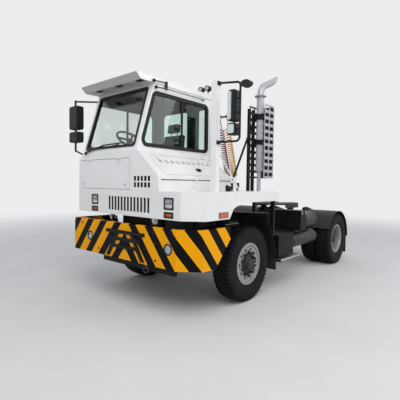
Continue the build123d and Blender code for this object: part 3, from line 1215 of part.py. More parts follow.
# Hose stand behind the cab with the air line fittings
STAND_X, STAND_Y, STAND_TOP = CAB_REAR_X - 75, 240, 2740
HOSE_FOOT_X = FRONT_AXLE_X - 660
with BuildPart() as hose_stand:
    bar((STAND_X, STAND_Y, DECK_TOP), (STAND_X, STAND_Y, STAND_TOP), 20)
    with BuildSketch(Plane.XY.offset(STAND_TOP - 30)):
        with Locations((STAND_X - 20, STAND_Y + 100)):
            Rectangle(80, 260)
    extrude(amount=8)
    with BuildSketch(Plane.XY.offset(DECK_TOP)):
        with Locations((HOSE_FOOT_X, STAND_Y + 110)):
            Rectangle(50, 250)
    extrude(amount=120)
save(hose_stand.part, "hose_stand")

# Air lines: curly hoses as fat tubes, with a thin straight tail at each end
HOSE_RADIUS = 7
COIL_RADIUS = 55
HOSES = (("air_line_red", STAND_Y + 40), ("air_line_yellow", STAND_Y + 175))
for name, y in HOSES:
    head = Vector(STAND_X - 30, y, STAND_TOP - 30)
    foot = Vector(HOSE_FOOT_X, y, DECK_TOP + 120)
    run = foot - head
    with BuildPart() as air_line:
        bar(head + run * 0.16, head + run * 0.90, COIL_RADIUS)
        bar(head, head + run * 0.17, HOSE_RADIUS)
        bar(head + run * 0.89, foot, HOSE_RADIUS)
    save(air_line.part, name)

# Frame fittings: all that is welded or bolted to the rails
with BuildPart() as frame_fittings:
    # Cross tubes between the webs
    for x in CROSS_MEMBERS:
        with BuildSketch(side_plane(0)):
            with Locations((x, RAIL_TOP - RAIL_HEIGHT / 2)):
                Circle(CROSS_TUBE_RADIUS)
                Circle(CROSS_TUBE_RADIUS - RAIL_WEB, mode=Mode.SUBTRACT)
        extrude(amount=RAIL_OUTER_Y - RAIL_WEB, both=True)
    # Plates from the noses of the rails to the bumper
    for side in (-1, 1):
        with BuildSketch(Plane.XY.offset(RAIL_TOP - RAIL_HEIGHT)):
            with Locations((FRONT_X - BUMPER_PLATE - 60, side * (RAIL_OUTER_Y + 12))):
                Rectangle(120, 24)
        extrude(amount=RAIL_HEIGHT)
    # Pivot brackets of the lift boom
    for side in (-1, 1):
        with BuildSketch(side_plane(side * 400)):
            outline([(BOOM_PIVOT_X - 120, RAIL_TOP), (BOOM_PIVOT_X - 55, BOOM_PIVOT_Z + 50),
                     (BOOM_PIVOT_X + 55, BOOM_PIVOT_Z + 50), (BOOM_PIVOT_X + 120, RAIL_TOP)])
            with Locations((BOOM_PIVOT_X, BOOM_PIVOT_Z)):
                Circle(PIN_RADIUS + FIT_GAP, mode=Mode.SUBTRACT)
        extrude(amount=side * 30)
    # Brackets of the cab hinges
    for side in (-1, 1):
        with BuildSketch(side_plane(side * BRACKET_Y[0])):
            outline([(HINGE_X - 90, RAIL_TOP), (HINGE_X - 30, HINGE_Z + 25), (HINGE_X + 30, HINGE_Z + 25),
                     (HINGE_X + 60, RAIL_TOP)])
            with Locations((HINGE_X, HINGE_Z)):
                Circle(HINGE_PIN + FIT_GAP, mode=Mode.SUBTRACT)
        extrude(amount=-side * (BRACKET_Y[1] - BRACKET_Y[0]))
    # Posts under the cab
    for side in (-1, 1):
        with BuildSketch(Plane.XY.offset(RAIL_TOP)):
            with Locations((CAB_REAR_X + 20, side * 385)):
                Rectangle(50, 90)
        extrude(amount=DECK_TOP - FIT_GAP - RAIL_TOP)
    # Brackets of the side boxes and tanks
    for x, y0, y1, z in ((FRONT_AXLE_X - 1610, RAIL_OUTER_Y, 600, 900),
                         (FRONT_AXLE_X - 2000, RAIL_OUTER_Y, 860, 985),
                         (FRONT_AXLE_X - 1900, RAIL_OUTER_Y, 880, 710),
                         (FRONT_AXLE_X - 1200, -570, -RAIL_OUTER_Y, 880),
                         (FRONT_AXLE_X - 1700, -570, -RAIL_OUTER_Y, 880)):
        with BuildSketch(Plane.XY.offset(z - 30)):
            with Locations((x, (y0 + y1) / 2)):
                Rectangle(80, y1 - y0)
        extrude(amount=60)
    # Arms of the fenders
    for side in (-1, 1):
        for x, reach, top in ((FRONT_AXLE_X - 300, FENDER_INNER_Y, 1234),
                              (FRONT_AXLE_X + 380, FENDER_INNER_Y, 1286),
                              (REAR_AXLE_X, REAR_FENDER_INNER_Y, AXLE_Z + REAR_FENDER_RADIUS + FENDER)):
            with BuildSketch(front_plane(x)):
                outline([(side * RAIL_OUTER_Y, RAIL_TOP - 90), (side * (RAIL_OUTER_Y + 40), RAIL_TOP - 90),
                         (side * (RAIL_OUTER_Y + 40), top - 34), (side * reach, top - 34),
                         (side * reach, top), (side * RAIL_OUTER_Y, top)])
            extrude(amount=30, both=True)
    # Cross plate on the ends of the rails
    with BuildSketch(front_plane(RAIL_REAR_X)):
        with Locations((0, TAIL_Z)):
            Rectangle(1800, 130)
    extrude(amount=-REAR_PLATE)
    # Cross tube of the lift cylinders
    with BuildSketch(side_plane(0)):
        with Locations((CYLINDER_FOOT_X, CYLINDER_FOOT_Z)):
            Circle(22)
    extrude(amount=RAIL_OUTER_Y - RAIL_WEB, both=True)
    # Ramps that guide a trailer up to the fifth wheel
    for side in (-1, 1):
        with BuildSketch(side_plane(side * (RAIL_OUTER_Y + 20))):
            outline([(REAR_AXLE_X - 60, RAIL_TOP), (REAR_AXLE_X - 60, 1130), (REAR_AXLE_X - 200, 1150),
                     (REAR_X + 30, RAIL_TOP + 20), (REAR_X + 30, RAIL_TOP)])
        extrude(amount=side * 60)
    # Tow hitch: two jaws with an upright pin hole
    for z in (TAIL_Z - 65, TAIL_Z + 35):
        with BuildSketch(Plane.XY.offset(z)):
            with Locations(((LAMP_FACE_X + REAR_X) / 2, 0)):
                Rectangle(LAMP_FACE_X - REAR_X, 150)
            with Locations((HITCH_PIN_X, 0)):
                Circle(HITCH_PIN_RADIUS, mode=Mode.SUBTRACT)
        extrude(amount=30)
save(frame_fittings.part, "frame_fittings")
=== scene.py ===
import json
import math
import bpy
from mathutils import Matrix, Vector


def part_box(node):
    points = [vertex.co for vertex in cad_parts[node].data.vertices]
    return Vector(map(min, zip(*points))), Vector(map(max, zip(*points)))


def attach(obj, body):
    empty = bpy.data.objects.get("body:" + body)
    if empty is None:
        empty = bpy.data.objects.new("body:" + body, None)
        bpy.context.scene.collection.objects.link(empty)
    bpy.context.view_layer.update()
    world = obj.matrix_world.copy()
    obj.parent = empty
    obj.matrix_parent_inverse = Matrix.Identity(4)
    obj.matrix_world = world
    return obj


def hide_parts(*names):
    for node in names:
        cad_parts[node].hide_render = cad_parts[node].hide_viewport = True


bl_info = {
    "name": "Terminal tractor dresser",
    "version": (1, 0, 0),
    "blender": (4, 5, 0),
    "location": "3D View > Sidebar > Tractor",
    "description": "Finishes, tyres, hoses and trim around the solids of a terminal tractor",
    "category": "Object",
}

import bpy
from bpy.props import FloatProperty, FloatVectorProperty, IntProperty, PointerProperty
from mathutils import Matrix, Vector

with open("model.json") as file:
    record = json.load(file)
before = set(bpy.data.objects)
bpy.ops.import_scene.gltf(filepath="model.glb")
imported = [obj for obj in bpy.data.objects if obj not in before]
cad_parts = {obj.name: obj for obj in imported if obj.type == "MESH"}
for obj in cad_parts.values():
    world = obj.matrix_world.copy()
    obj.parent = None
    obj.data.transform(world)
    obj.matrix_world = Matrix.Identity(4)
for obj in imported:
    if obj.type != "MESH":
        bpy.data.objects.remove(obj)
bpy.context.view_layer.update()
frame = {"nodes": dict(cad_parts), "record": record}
NODES = frame["nodes"]
SLOT_OF = {row["node"]: row["material_slot"] for row in frame["record"]["subparts"]}

FRONT, BACK, LEFT, UP, DOWN = (1, 0, 0), (-1, 0, 0), (0, 1, 0), (0, 0, 1), (0, 0, -1)
AXLE_Z = 0.53
FRONT_AXLE_X, REAR_AXLE_X = 1.445, -1.855
FRONT_DISC_Y, REAR_DISC_Y = 1.1, 0.971    # outer faces of the wheels' discs
HUB_RADIUS = 0.157                        # what lies within it, beyond the disc, is dark steel


# ---------------------------------------------------------------- settings

def colour_of(label, told, value):
    return FloatVectorProperty(name=label, description=told, subtype="COLOR", size=3, default=value)


def length_of(label, told, value):
    return FloatProperty(name=label, description=told, subtype="DISTANCE", default=value)


class TractorColours(bpy.types.PropertyGroup):
    """Colours of the paints, plastics and glass, and of the painted shade in the hollow insides"""

    cab: colour_of("Cab paint", "White of the cab and deck", (0.8, 0.805, 0.8))
    # Painted shade: this dark grey stands for the shade inside the cab, the hood, the front body and the side
    # hatch's vents.
    hollow_shade: colour_of("Cab inside shade", "Dark grey of the hollow insides", (0.035, 0.04, 0.042))
    frame: colour_of("Frame paint", "Near black of the frame", (0.004, 0.0045, 0.0055))
    warning: colour_of("Warning yellow", "Yellow of the bumper's stripes", (0.84, 0.36, 0.001))
    rim: colour_of("Rim paint", "Grey of the wheels", (0.3, 0.31, 0.31))
    exhaust: colour_of("Exhaust paint", "Pale grey of the stack", (0.4, 0.41, 0.43))
    tank: colour_of("Air tank paint", "Dark blue black of the air tanks", (0.012, 0.016, 0.02))
    glass: colour_of("Glass tint", "Green of the side windows", (0.74, 0.9, 0.86))
    orange: colour_of("Indicator orange", "Orange of the indicators", (0.5, 0.12, 0.008))
    hose_red: colour_of("Red hose", "Red of one air line", (0.17, 0.022, 0.022))
    hose_yellow: colour_of("Yellow hose", "Yellow of the other air line", (0.78, 0.4, 0.02))


class TractorSizes(bpy.types.PropertyGroup):
    """Sizes of the pieces that only the scene has"""

    stripe_pitch: length_of("Stripe pitch", "Distance from one yellow stripe to the next", 0.322)
    stripe_share: FloatProperty(name="Yellow share", description="Share of the pitch that is yellow",
                                subtype="FACTOR", min=0, max=1, default=0.53)
    tread_depth: length_of("Tread depth", "How far the blocks stand out of the tyre", 0.012)
    tread_blocks: IntProperty(name="Tread blocks", description="Blocks in one ring of the tread",
                              min=30, max=80, default=56)
    hose_length: length_of("Hose length", "Whole length of one curly air line", 8.2)
    hose_diameter: length_of("Hose diameter", "Outer diameter of an air line", 0.015)
    coil_radius: length_of("Coil radius", "From a curly hose's axis to the hose's middle", 0.047)


class TractorStage(bpy.types.PropertyGroup):
    """Floor, light and camera"""

    floor: colour_of("Floor", "Colour of the floor and backdrop", (0.66, 0.655, 0.65))
    key: FloatProperty(name="Key light", description="Strength of the large soft light in front",
                       default=420.0)


# ---------------------------------------------------------------- materials

def math_step(operation):
    """A method that puts a math node of this kind after a term."""
    return lambda term, *others: term.shading.calc(operation, term, *others)


class Term:
    """A socket that is reckoned with like a number."""

    __add__, __sub__, __mul__, __truediv__ = map(math_step, ("ADD", "SUBTRACT", "MULTIPLY", "DIVIDE"))
    __lt__, __gt__, __abs__ = map(math_step, ("LESS_THAN", "GREATER_THAN", "ABSOLUTE"))
    at_least, at_most = map(math_step, ("MAXIMUM", "MINIMUM"))
    root, sine, rounded = map(math_step, ("SQRT", "SINE", "ROUND"))

    def __init__(self, shading, socket):
        self.shading, self.socket = shading, socket

    def within(self, low, high):
        return (self > low) * (self < high)


class Shading:
    """A node tree, and the moves that add nodes to it and link them."""

    def __init__(self, block):
        block.use_nodes = True
        self.tree = block.node_tree

    def add(self, kind, **settings):
        """A node with its settings; an underscore stands for the space in an input's name."""
        node = self.tree.nodes.new(f"ShaderNode{kind}")
        for key, value in settings.items():
            label = key.replace("_", " ")
            if label in node.inputs:
                node.inputs[label].default_value = value
            else:
                setattr(node, key, value)
        return node

    def link(self, source, target):
        self.tree.links.new(source.socket if isinstance(source, Term) else source, target)

    def calc(self, operation, *values):
        node = self.add("Math", operation=operation)
        for socket, value in zip(node.inputs, values):
            if isinstance(value, (int, float)):
                socket.default_value = value
            else:
                self.link(value, socket)
        return Term(self, node.outputs[0])

    def mixed(self, factor, low, high):
        """A colour that turns into another one with the factor; the first may be a socket."""
        mix = self.add("Mix", data_type="RGBA", B=(*high, 1))
        if isinstance(low, tuple):
            mix.inputs["A"].default_value = (*low, 1)
        else:
            self.link(low, mix.inputs["A"])
        self.link(factor, mix.inputs["Factor"])
        return mix.outputs["Result"]


class Finish(Shading):
    """A new material. The solids bring plain ones under the slots' names, so these are named otherwise."""

    def __init__(self, name):
        self.material = bpy.data.materials.new(f"{name}_finish")
        super().__init__(self.material)
        self.shader = next(n for n in self.tree.nodes if n.type == "BSDF_PRINCIPLED")
        self.place = self.add("TexCoord").outputs["Object"]
        self.xyz = self.split(self.place)

    def set(self, **values):
        for key, value in values.items():
            self.shader.inputs[key.replace("_", " ")].default_value = value

    def split(self, vector):
        node = self.add("SeparateXYZ")
        self.link(vector, node.inputs[0])
        return [Term(self, socket) for socket in node.outputs]

    def upward(self):
        """How far a face looks up, from -1 to 1."""
        return self.split(self.add("NewGeometry").outputs["Normal"])[2]

    def texture(self, kind, **settings):
        """A texture's outputs by name, laid out by the object's own coordinates."""
        node = self.add(kind, **settings)
        self.link(self.place, node.inputs["Vector"])
        return node.outputs

    def noise(self, scale, detail, **settings):
        return Term(self, self.texture("TexNoise", Scale=scale, Detail=detail, **settings)["Fac"])

    def ramp(self, factor, *stops):
        node = self.add("ValToRGB")
        for element, (place, colour) in zip(node.color_ramp.elements, stops):
            element.position = place
            element.color = (*colour, 1)
        self.link(factor, node.inputs["Fac"])
        return Term(self, node.outputs["Color"])

    def base(self, colour):
        self.link(colour, self.shader.inputs["Base Color"])

    def over(self, colour, mask):
        """Lays another colour over what is there where the mask is 1."""
        self.base(self.mixed(mask, self.shader.inputs["Base Color"].links[0].from_socket, colour))

    def shine(self, factor, rough):
        node = self.add("MapRange", To_Min=rough[0], To_Max=rough[1])
        self.link(factor, node.inputs["Value"])
        self.link(node.outputs["Result"], self.shader.inputs["Roughness"])

    def relief(self, height, strength, distance=0.001):
        node = self.add("Bump", Strength=strength, Distance=distance)
        self.link(height, node.inputs["Height"])
        self.link(node.outputs["Normal"], self.shader.inputs["Normal"])


def dimmed(colour, share):
    return tuple(share * c for c in colour)


def painted(name, colour, dirt=(0.2, 0.17, 0.14), dirt_share=0.15, rough=(0.25, 0.45), bump=0.02, scale=3.0,
            metallic=0.0, coat=0.0, grain=180.0, dust=0.0, gloss=0.5):
    """Paint with faint mottling, fine orange peel, soft grime in patches and dust on upward faces."""
    paint = Finish(name)
    patches = paint.noise(scale, 6.0, Roughness=0.65)
    amount = paint.ramp(patches, (0.42, (0, 0, 0)), (0.78, (1, 1, 1))) * dirt_share
    if dust:
        amount = amount + paint.upward().at_least(0) * dust
    paint.base(paint.mixed(amount, colour, dirt))
    paint.shine(patches, rough)
    paint.relief(paint.noise(grain, 2.0), bump, 0.002)
    paint.set(Metallic=metallic, Coat_Weight=coat, Specular_IOR_Level=gloss)
    return paint


def white_paint(name, colour):
    return painted(name, colour, dirt=(0.5, 0.48, 0.44), dirt_share=0.22, rough=(0.18, 0.32), coat=0.25)


# Insides of the hollow shells, which get painted shade: x, y and z from and to, a few millimetres from the
# outer faces.
CABIN_INSIDE = (1.168, 2.672), (-1.077, 0.174), (1.56, 2.987)
HOOD_INSIDE = (1.175, 2.681), (-1.19, 0.574), (1.56, 2.072)
BODY_INSIDE = (1.91, 2.682), (-1.19, 0.955), (1.212, 1.536)
BELT_Z, LEAN = 2.078, 0.311                 # the front leans back above the belt, by this much per metre
SLOPE_FOOT_Y, SLOPE_FOOT_Z = 0.583, 1.738   # foot of the slope that the side hatch closes
LEDGE_Y, LEDGE_Z = -1.193, 1.976            # outer edge of the narrow ledge on the right
VISOR_X, VISOR_Z = 2.3, 2.97               # the roof's underside over the windscreen starts here


def hollow_white(name, colour, hollow_shade):
    """White paint outside, painted shade in dark grey on the faces inside the cab, the hood and the front
    body.
    """
    paint = white_paint(name, colour)
    x, y, z = paint.xyz

    def inside(shell, front=x):
        (rear_x, front_x), side, height = shell
        return (x > rear_x) * (front < front_x) * y.within(*side) * z.within(*height)

    cabin = inside(CABIN_INSIDE, x + (z - BELT_Z).at_least(0) * LEAN)
    slope = (y - SLOPE_FOOT_Y) * 0.34 + (z - SLOPE_FOOT_Z) * 0.401
    ledge = (z - LEDGE_Z) * 0.108 - (y - LEDGE_Y) * 0.102
    hood = inside(HOOD_INSIDE) * (slope < -0.008) * (ledge < -0.001)
    # Painted shade: the faces inside the cab, the hood and the front body are painted dark grey.
    paint.over(hollow_shade, cabin.at_least(hood).at_least(inside(BODY_INSIDE)))
    # Painted shade: the roof's underside over the windscreen is painted a darker grey than the white.
    soffit_shade = (paint.upward() < -0.5) * (z > VISOR_Z) * (x > VISOR_X)
    paint.over(dimmed(colour, 0.62), soffit_shade)


def hatch_white(name, colour, hollow_shade):
    """White paint on a sloping hatch, with painted shade in dark grey inside its vents and below its outer
    face.
    """
    paint = white_paint(name, colour)
    _, y, z = paint.xyz
    depth = (y - SLOPE_FOOT_Y) * 0.6467 + (z - SLOPE_FOOT_Z) * 0.7628
    # Painted shade: faces sunk more than 3.5 mm below the hatch's outer face are painted dark grey.
    paint.over(hollow_shade, depth < -0.0035)


def rim_paint(name, colour, dark):
    """Wheel paint, with the studs and the hub beyond the disc in dark steel."""
    paint = painted(name, colour, dirt=(0.16, 0.13, 0.1), dirt_share=0.5, rough=(0.35, 0.55), scale=12.0,
                    metallic=0.2)
    x, y, z = paint.xyz
    across, high = abs(y), z - AXLE_Z

    def hub(axle_x, disc_y):
        run = x - axle_x
        return ((run * run + high * high).root() < HUB_RADIUS) * (across > disc_y + 0.002)

    paint.over(dark, hub(FRONT_AXLE_X, FRONT_DISC_Y).at_least(hub(REAR_AXLE_X, REAR_DISC_Y)))


def striped(name, yellow, black, pitch, share):
    """Yellow and black stripes that run down and outward from the bumper's middle."""
    paint = painted(name, yellow, rough=(0.3, 0.45), dirt_share=0.06, gloss=0.08)
    x, y, z = paint.xyz
    cut = 0.182    # length of the bumper's slanted corners, which run on with the stripes by a share
    back = (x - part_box("bumper")[1].x) * -1
    corner = back.at_most(cut) * ((y < 0) * 0.67 + 0.33)
    run = abs(y) + corner + (back - cut).at_least(0)
    phase = (run + (z - 1.09) * 0.8) / pitch
    wear = (paint.noise(60.0, 4.0) - 0.5) * 0.012
    paint.over(black, abs(phase - phase.rounded()) + wear > share / 2)


def galvanised(name, dark):
    """Zinc-coated steel with its spangle, with painted shade in near black on the guard's inner plates, which
    lie in shadow.
    """
    zinc = Finish(name)
    spangle = zinc.texture("TexVoronoi", Scale=70.0)
    zinc.base(zinc.ramp(spangle["Color"], (0.0, (0.3, 0.31, 0.32)), (1.0, (0.52, 0.53, 0.54))))
    zinc.shine(spangle["Distance"], (0.35, 0.6))
    zinc.set(Metallic=0.5)
    # Painted shade: the inner plates, nearer the middle than y 1.094, are painted near black.
    zinc.over(dark, zinc.xyz[1] < 1.094)


def pane(name, tint, side_tint):
    """Clear window glass, greener in the cab's left side, with a faint film of dust."""
    glass = Finish(name)
    glass.base(glass.ramp(glass.noise(4.0, 3.0), (0.3, tint), (0.8, dimmed(tint, 0.94))))
    glass.over(side_tint, glass.xyz[1] > 0.14)
    glass.set(Transmission_Weight=1.0, Roughness=0.02, IOR=1.45)


def mirrored(name, tone):
    """Silvered glass or bright plating, a little uneven."""
    silver = Finish(name)
    cloud = silver.noise(14.0, 3.0)
    silver.base(silver.ramp(cloud, (0.3, tone), (0.8, dimmed(tone, 0.85))))
    silver.shine(cloud, (0.06, 0.16))
    silver.set(Metallic=1.0)


def fluted(name, colour, ribs, strength=0.5, alpha=1.0, **settings):
    """Lamp plastic with fine upright ribs moulded into it; a low alpha makes it clear."""
    plastic = painted(name, colour, bump=0.01, **settings)
    x, y, _ = plastic.xyz
    plastic.relief(((x + y) * ribs).sine(), strength)
    plastic.set(Alpha=alpha)


def woven(name, colour, thread):
    """Seat cloth: a fine weave of two directions and a soft sheen."""
    cloth = painted(name, colour, dirt=(0.06, 0.06, 0.065), dirt_share=0.5, rough=(0.8, 0.95))
    x, y, z = cloth.xyz
    cloth.relief((y * thread).sine() * ((x + z) * thread).sine(), 0.35)
    cloth.set(Sheen_Weight=0.3)


def make_finishes(colours, sizes):
    """Every material: one for each slot of the record by the slot's name, and those of the small trim."""
    black, hollow_shade, white = tuple(colours.frame), tuple(colours.hollow_shade), tuple(colours.cab)
    # The dark grey given to the two white paints is painted shade for their hollow insides.
    hollow_white("cab_white", white, hollow_shade)
    hatch_white("hatch_white", white, hollow_shade)
    striped("hazard_yellow", tuple(colours.warning), black, sizes.stripe_pitch, sizes.stripe_share)
    rim_paint("rim_grey", tuple(colours.rim), (0.03, 0.028, 0.026))
    # The near black here is painted shade for the guard's inner plates.
    galvanised("galvanised", (0.05, 0.051, 0.053))
    pane("glass", (0.83, 0.88, 0.86), tuple(colours.glass))
    fluted("lamp_clear", (0.8, 0.82, 0.83), 500.0, 0.3, 0.14, dirt_share=0.1, rough=(0.05, 0.12), coat=0.5)
    moulded = dict(dirt_share=0.08, rough=(0.12, 0.22), coat=0.4)
    fluted("lamp_orange", tuple(colours.orange), 900.0, **moulded)
    fluted("lamp_red", (0.42, 0.012, 0.012), 700.0, **moulded)
    woven("cloth", (0.035, 0.036, 0.04), 2200.0)
    for name, tone in (("mirror_glass", (0.7, 0.76, 0.76)), ("reflector", (0.52, 0.53, 0.54)),
                       ("reflector_bright", (0.95, 0.95, 0.95))):
        mirrored(name, tone)
    for name in ("hose_red", "hose_yellow"):
        painted(name, tuple(getattr(colours, name)), dirt_share=0.1, rough=(0.25, 0.4), bump=0.01, coat=0.3)
    painted("seal", (0.008, 0.008, 0.009), dirt_share=0.06, rough=(0.4, 0.6), bump=0.05, gloss=0.3)
    for name, colour, dirt, dirt_share, rough, more in (
            ("frame_black", black, (0.1, 0.088, 0.075), 0.1, (0.38, 0.6),
             dict(scale=6.0, dust=0.04, gloss=0.16)),
            ("tyre", (0.006, 0.006, 0.007), (0.045, 0.041, 0.037), 0.28, (0.55, 0.8),
             dict(bump=0.25, scale=5.0, grain=90.0, gloss=0.15)),
            ("exhaust_grey", tuple(colours.exhaust), (0.3, 0.28, 0.26), 0.3, (0.3, 0.5),
             dict(scale=8.0, metallic=0.3)),
            ("cast", (0.028, 0.028, 0.03), (0.1, 0.08, 0.065), 0.5, (0.55, 0.8),
             dict(bump=0.35, scale=9.0, grain=60.0, dust=0.15)),
            ("flap", (0.01, 0.01, 0.011), (0.1, 0.09, 0.08), 0.25, (0.6, 0.8), dict(bump=0.1, gloss=0.3)),
            ("black_plastic", (0.01, 0.011, 0.013), (0.08, 0.075, 0.07), 0.15, (0.4, 0.55),
             dict(bump=0.15, grain=300.0, gloss=0.3)),
            ("tank_grey", tuple(colours.tank), (0.14, 0.13, 0.12), 0.18, (0.3, 0.45),
             dict(scale=7.0, dust=0.08, gloss=0.3)),
            ("rod_chrome", (0.62, 0.63, 0.64), (0.2, 0.18, 0.16), 0.2, (0.08, 0.2), dict(metallic=1.0)),
            ("nut_dark", (0.026, 0.023, 0.021), (0.1, 0.07, 0.05), 0.5, (0.4, 0.6),
             dict(scale=40.0, metallic=0.4)),
            ("zinc_bolt", (0.42, 0.42, 0.41), (0.2, 0.17, 0.14), 0.4, (0.3, 0.5),
             dict(scale=40.0, metallic=0.8)),
            ("bright_step", (0.5, 0.51, 0.52), (0.2, 0.18, 0.16), 0.5, (0.3, 0.5),
             dict(scale=20.0, metallic=0.6))):
        painted(name, colour, dirt, dirt_share, rough, **more)


def finish(name):
    return bpy.data.materials[f"{name}_finish"]


class TRACTOR_OT_finishes(bpy.types.Operator):
    """Give every solid its finish"""
    bl_idname = "tractor.finishes"
    bl_label = "Finishes"

    def execute(self, context):
        make_finishes(context.scene.tractor_colours, context.scene.tractor_sizes)
        for name, node in NODES.items():
            node.data.materials.clear()
            node.data.materials.append(finish("hatch_white" if name == "side_hatch" else SLOT_OF[name]))
        return {"FINISHED"}


# ---------------------------------------------------------------- modelling

def start(kind, name, **settings):
    """Adds one primitive with nothing else selected."""
    bpy.ops.object.select_all(action="DESELECT")
    getattr(bpy.ops.mesh, f"primitive_{kind}_add")(**settings)
    piece = bpy.context.object
    piece.name = name
    return piece


def only(*pieces):
    """Selects these pieces alone, the first one active."""
    bpy.ops.object.select_all(action="DESELECT")
    for piece in pieces:
        piece.select_set(True)
    bpy.context.view_layer.objects.active = pieces[0]


def edit(action="SELECT"):
    """Goes to edit mode with the whole mesh of the active piece selected, or none of it."""
    bpy.ops.object.mode_set(mode="EDIT")
    bpy.ops.mesh.select_all(action=action)


def leave():
    bpy.ops.object.mode_set(mode="OBJECT")


def close_up(piece):
    """Merges doubles and turns all faces outward, back in object mode."""
    leave()
    only(piece)
    edit()
    bpy.ops.mesh.remove_doubles(threshold=0.00005)
    bpy.ops.mesh.normals_make_consistent(inside=False)
    leave()


def raised(piece, steps):
    """Pushes and insets the flat outline of a new piece, step by step, along its own z."""
    edit()
    for inset, push in steps:
        if inset:
            bpy.ops.mesh.inset(thickness=inset)
        if push:
            bpy.ops.mesh.extrude_region_move(TRANSFORM_OT_translate={"value": (0, 0, push)})
    close_up(piece)
    return piece


def slab(name, width, height, steps, corner=0.0):
    """A plate on the xy plane with rounded corners, its top worked by inset and push steps."""
    piece = start("plane", name, size=1)
    piece.scale = (width, height, 1)
    bpy.ops.object.transform_apply(location=False, rotation=False)
    if corner:
        edit()
        bpy.ops.mesh.bevel(offset=corner, segments=5, affect="VERTICES")
        leave()
    return raised(piece, steps)


def disc(name, radius, steps, sides=32):
    """A round plate on the xy plane, its top worked by inset and push steps."""
    return raised(start("circle", name, radius=radius, vertices=sides, fill_type="NGON"), steps)


def stand(piece, centre, facing, up=UP):
    """Turns a piece made on the xy plane so that its z looks along facing, and sets it down at centre."""
    out = Vector(facing).normalized()
    side = Vector(up).cross(out)
    if side.length < 0.01:
        side = Vector((0, 1, 0))
    side.normalize()
    turn = Matrix((side, out.cross(side), out)).transposed().to_4x4()
    piece.data.transform(Matrix.Translation(centre) @ turn)
    return piece


def moved(piece, shift):
    """A copy of a piece with its own mesh, moved by a vector or a matrix."""
    twin = piece.copy()
    twin.data = piece.data.copy()
    twin.data.transform(shift if isinstance(shift, Matrix) else Matrix.Translation(shift))
    bpy.context.scene.collection.objects.link(twin)
    return twin


def joined(name, pieces):
    pieces = list(pieces)
    only(*pieces)
    if len(pieces) > 1:
        bpy.ops.object.join()
    pieces[0].name = name
    return pieces[0]


def spread(name, piece, shifts):
    """A modelled shape at every shift, joined; the first shape itself is used up."""
    twins = [moved(piece, shift) for shift in shifts]
    bpy.data.objects.remove(piece)
    return joined(name, twins)


def set_down(name, shape, places, facing, up=UP):
    """Copies of a shape made on the xy plane, one at every place, joined."""
    return spread(name, stand(shape, (0, 0, 0), facing, up), [Vector(place) for place in places])


def ring(name, piece, count, centre, axis="Y", turn=0.0):
    """Copies of a shape, modelled beside the origin, round an axis through centre."""
    turns = [Matrix.Rotation(2 * math.pi * (k + turn) / count, 4, axis) for k in range(count)]
    twins = spread(name, piece, turns)
    twins.data.transform(Matrix.Translation(centre))
    return twins


def mirrored_y(piece):
    """The piece and its mirror image in the middle plane."""
    both = joined(piece.name, [piece, moved(piece, Matrix.Scale(-1, 4, (0, 1, 0)))])
    close_up(both)
    return both


def hex_bolt(size, height):
    """A bolt head on a washer, standing on the xy plane."""
    washer = disc("washer", size * 1.35, [(0, size * 0.2)], 20)
    head = disc("head", size, [(0, height), (size * 0.12, size * 0.1)], 6)
    return joined("bolt", [washer, head])


def added(name, data):
    """A new object in the scene around this data."""
    piece = bpy.data.objects.new(name, data)
    bpy.context.scene.collection.objects.link(piece)
    return piece


def curve_of(name, points, radius=0.0, bent=True, resolution=3):
    """A curve through points; a bent one runs smoothly past the points between its ends."""
    curve = bpy.data.curves.new(name, "CURVE")
    curve.dimensions = "3D"
    curve.bevel_depth, curve.bevel_resolution, curve.resolution_u = radius, 3, resolution
    curve.use_fill_caps = True
    spline = curve.splines.new("NURBS" if bent else "POLY")
    spline.points.add(len(points) - 1)
    for point, place in zip(spline.points, points):
        point.co = (*place, 1)
    if bent:
        spline.order_u, spline.use_endpoint_u = 3, True
    return added(name, curve)


def rod(name, points, radius, bent=False):
    """A round bar through points, made a mesh."""
    only(curve_of(name, points, radius, bent, 8))
    bpy.ops.object.convert(target="MESH")
    return bpy.context.object


def modify(piece, kind, **settings):
    """Puts a modifier on a piece and applies it."""
    only(piece)
    modifier = piece.modifiers.new("change", kind)
    for key, value in settings.items():
        setattr(modifier, key, value)
    bpy.ops.object.modifier_apply(modifier="change")


def dress(piece, body, material, slot=None, bevel=0.0, angle=35, replaces=()):
    """Finishes a piece: edges, smooth faces, material and body; the slot argument is not used."""
    if bevel:
        modify(piece, "BEVEL", width=bevel, segments=2, limit_method="ANGLE", angle_limit=math.radians(40))
    only(piece)
    bpy.ops.object.shade_smooth_by_angle(angle=math.radians(angle))
    piece.data.materials.clear()
    piece.data.materials.append(finish(material))
    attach(piece, body)
    if replaces:
        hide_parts(*replaces)
    return piece


def fit(name, shape, places, facing, body, material, slot=None, up=UP, **looks):
    """Copies of a shape made on the xy plane, one at every place, joined and dressed."""
    return dress(set_down(name, shape, places, facing, up), body, material, slot, **looks)


# ---------------------------------------------------------------- air lines

HOSE_Y = {"red": 0.28, "yellow": 0.415}
HOSE_HEAD, HOSE_FOOT = (1.055, 2.71), (0.785, 1.665)    # x and z of the two ends
COIL_START, COIL_END = 0.16, 0.9                         # shares of the route
HEAD_TAIL, FOOT_TAIL = (0, 0.05, 0.11), (0.94, 0.97, 1)
POINTS_PER_TURN = 14
EVEN, CLOSER = 0.62, 0.38    # the turn reached at a share of the coil: evenly, and closer towards the foot
SAGS = ((0.25, 0.016), (0.5, 0.016), (0.75, 0.008))      # share of the route, and how far forward it hangs


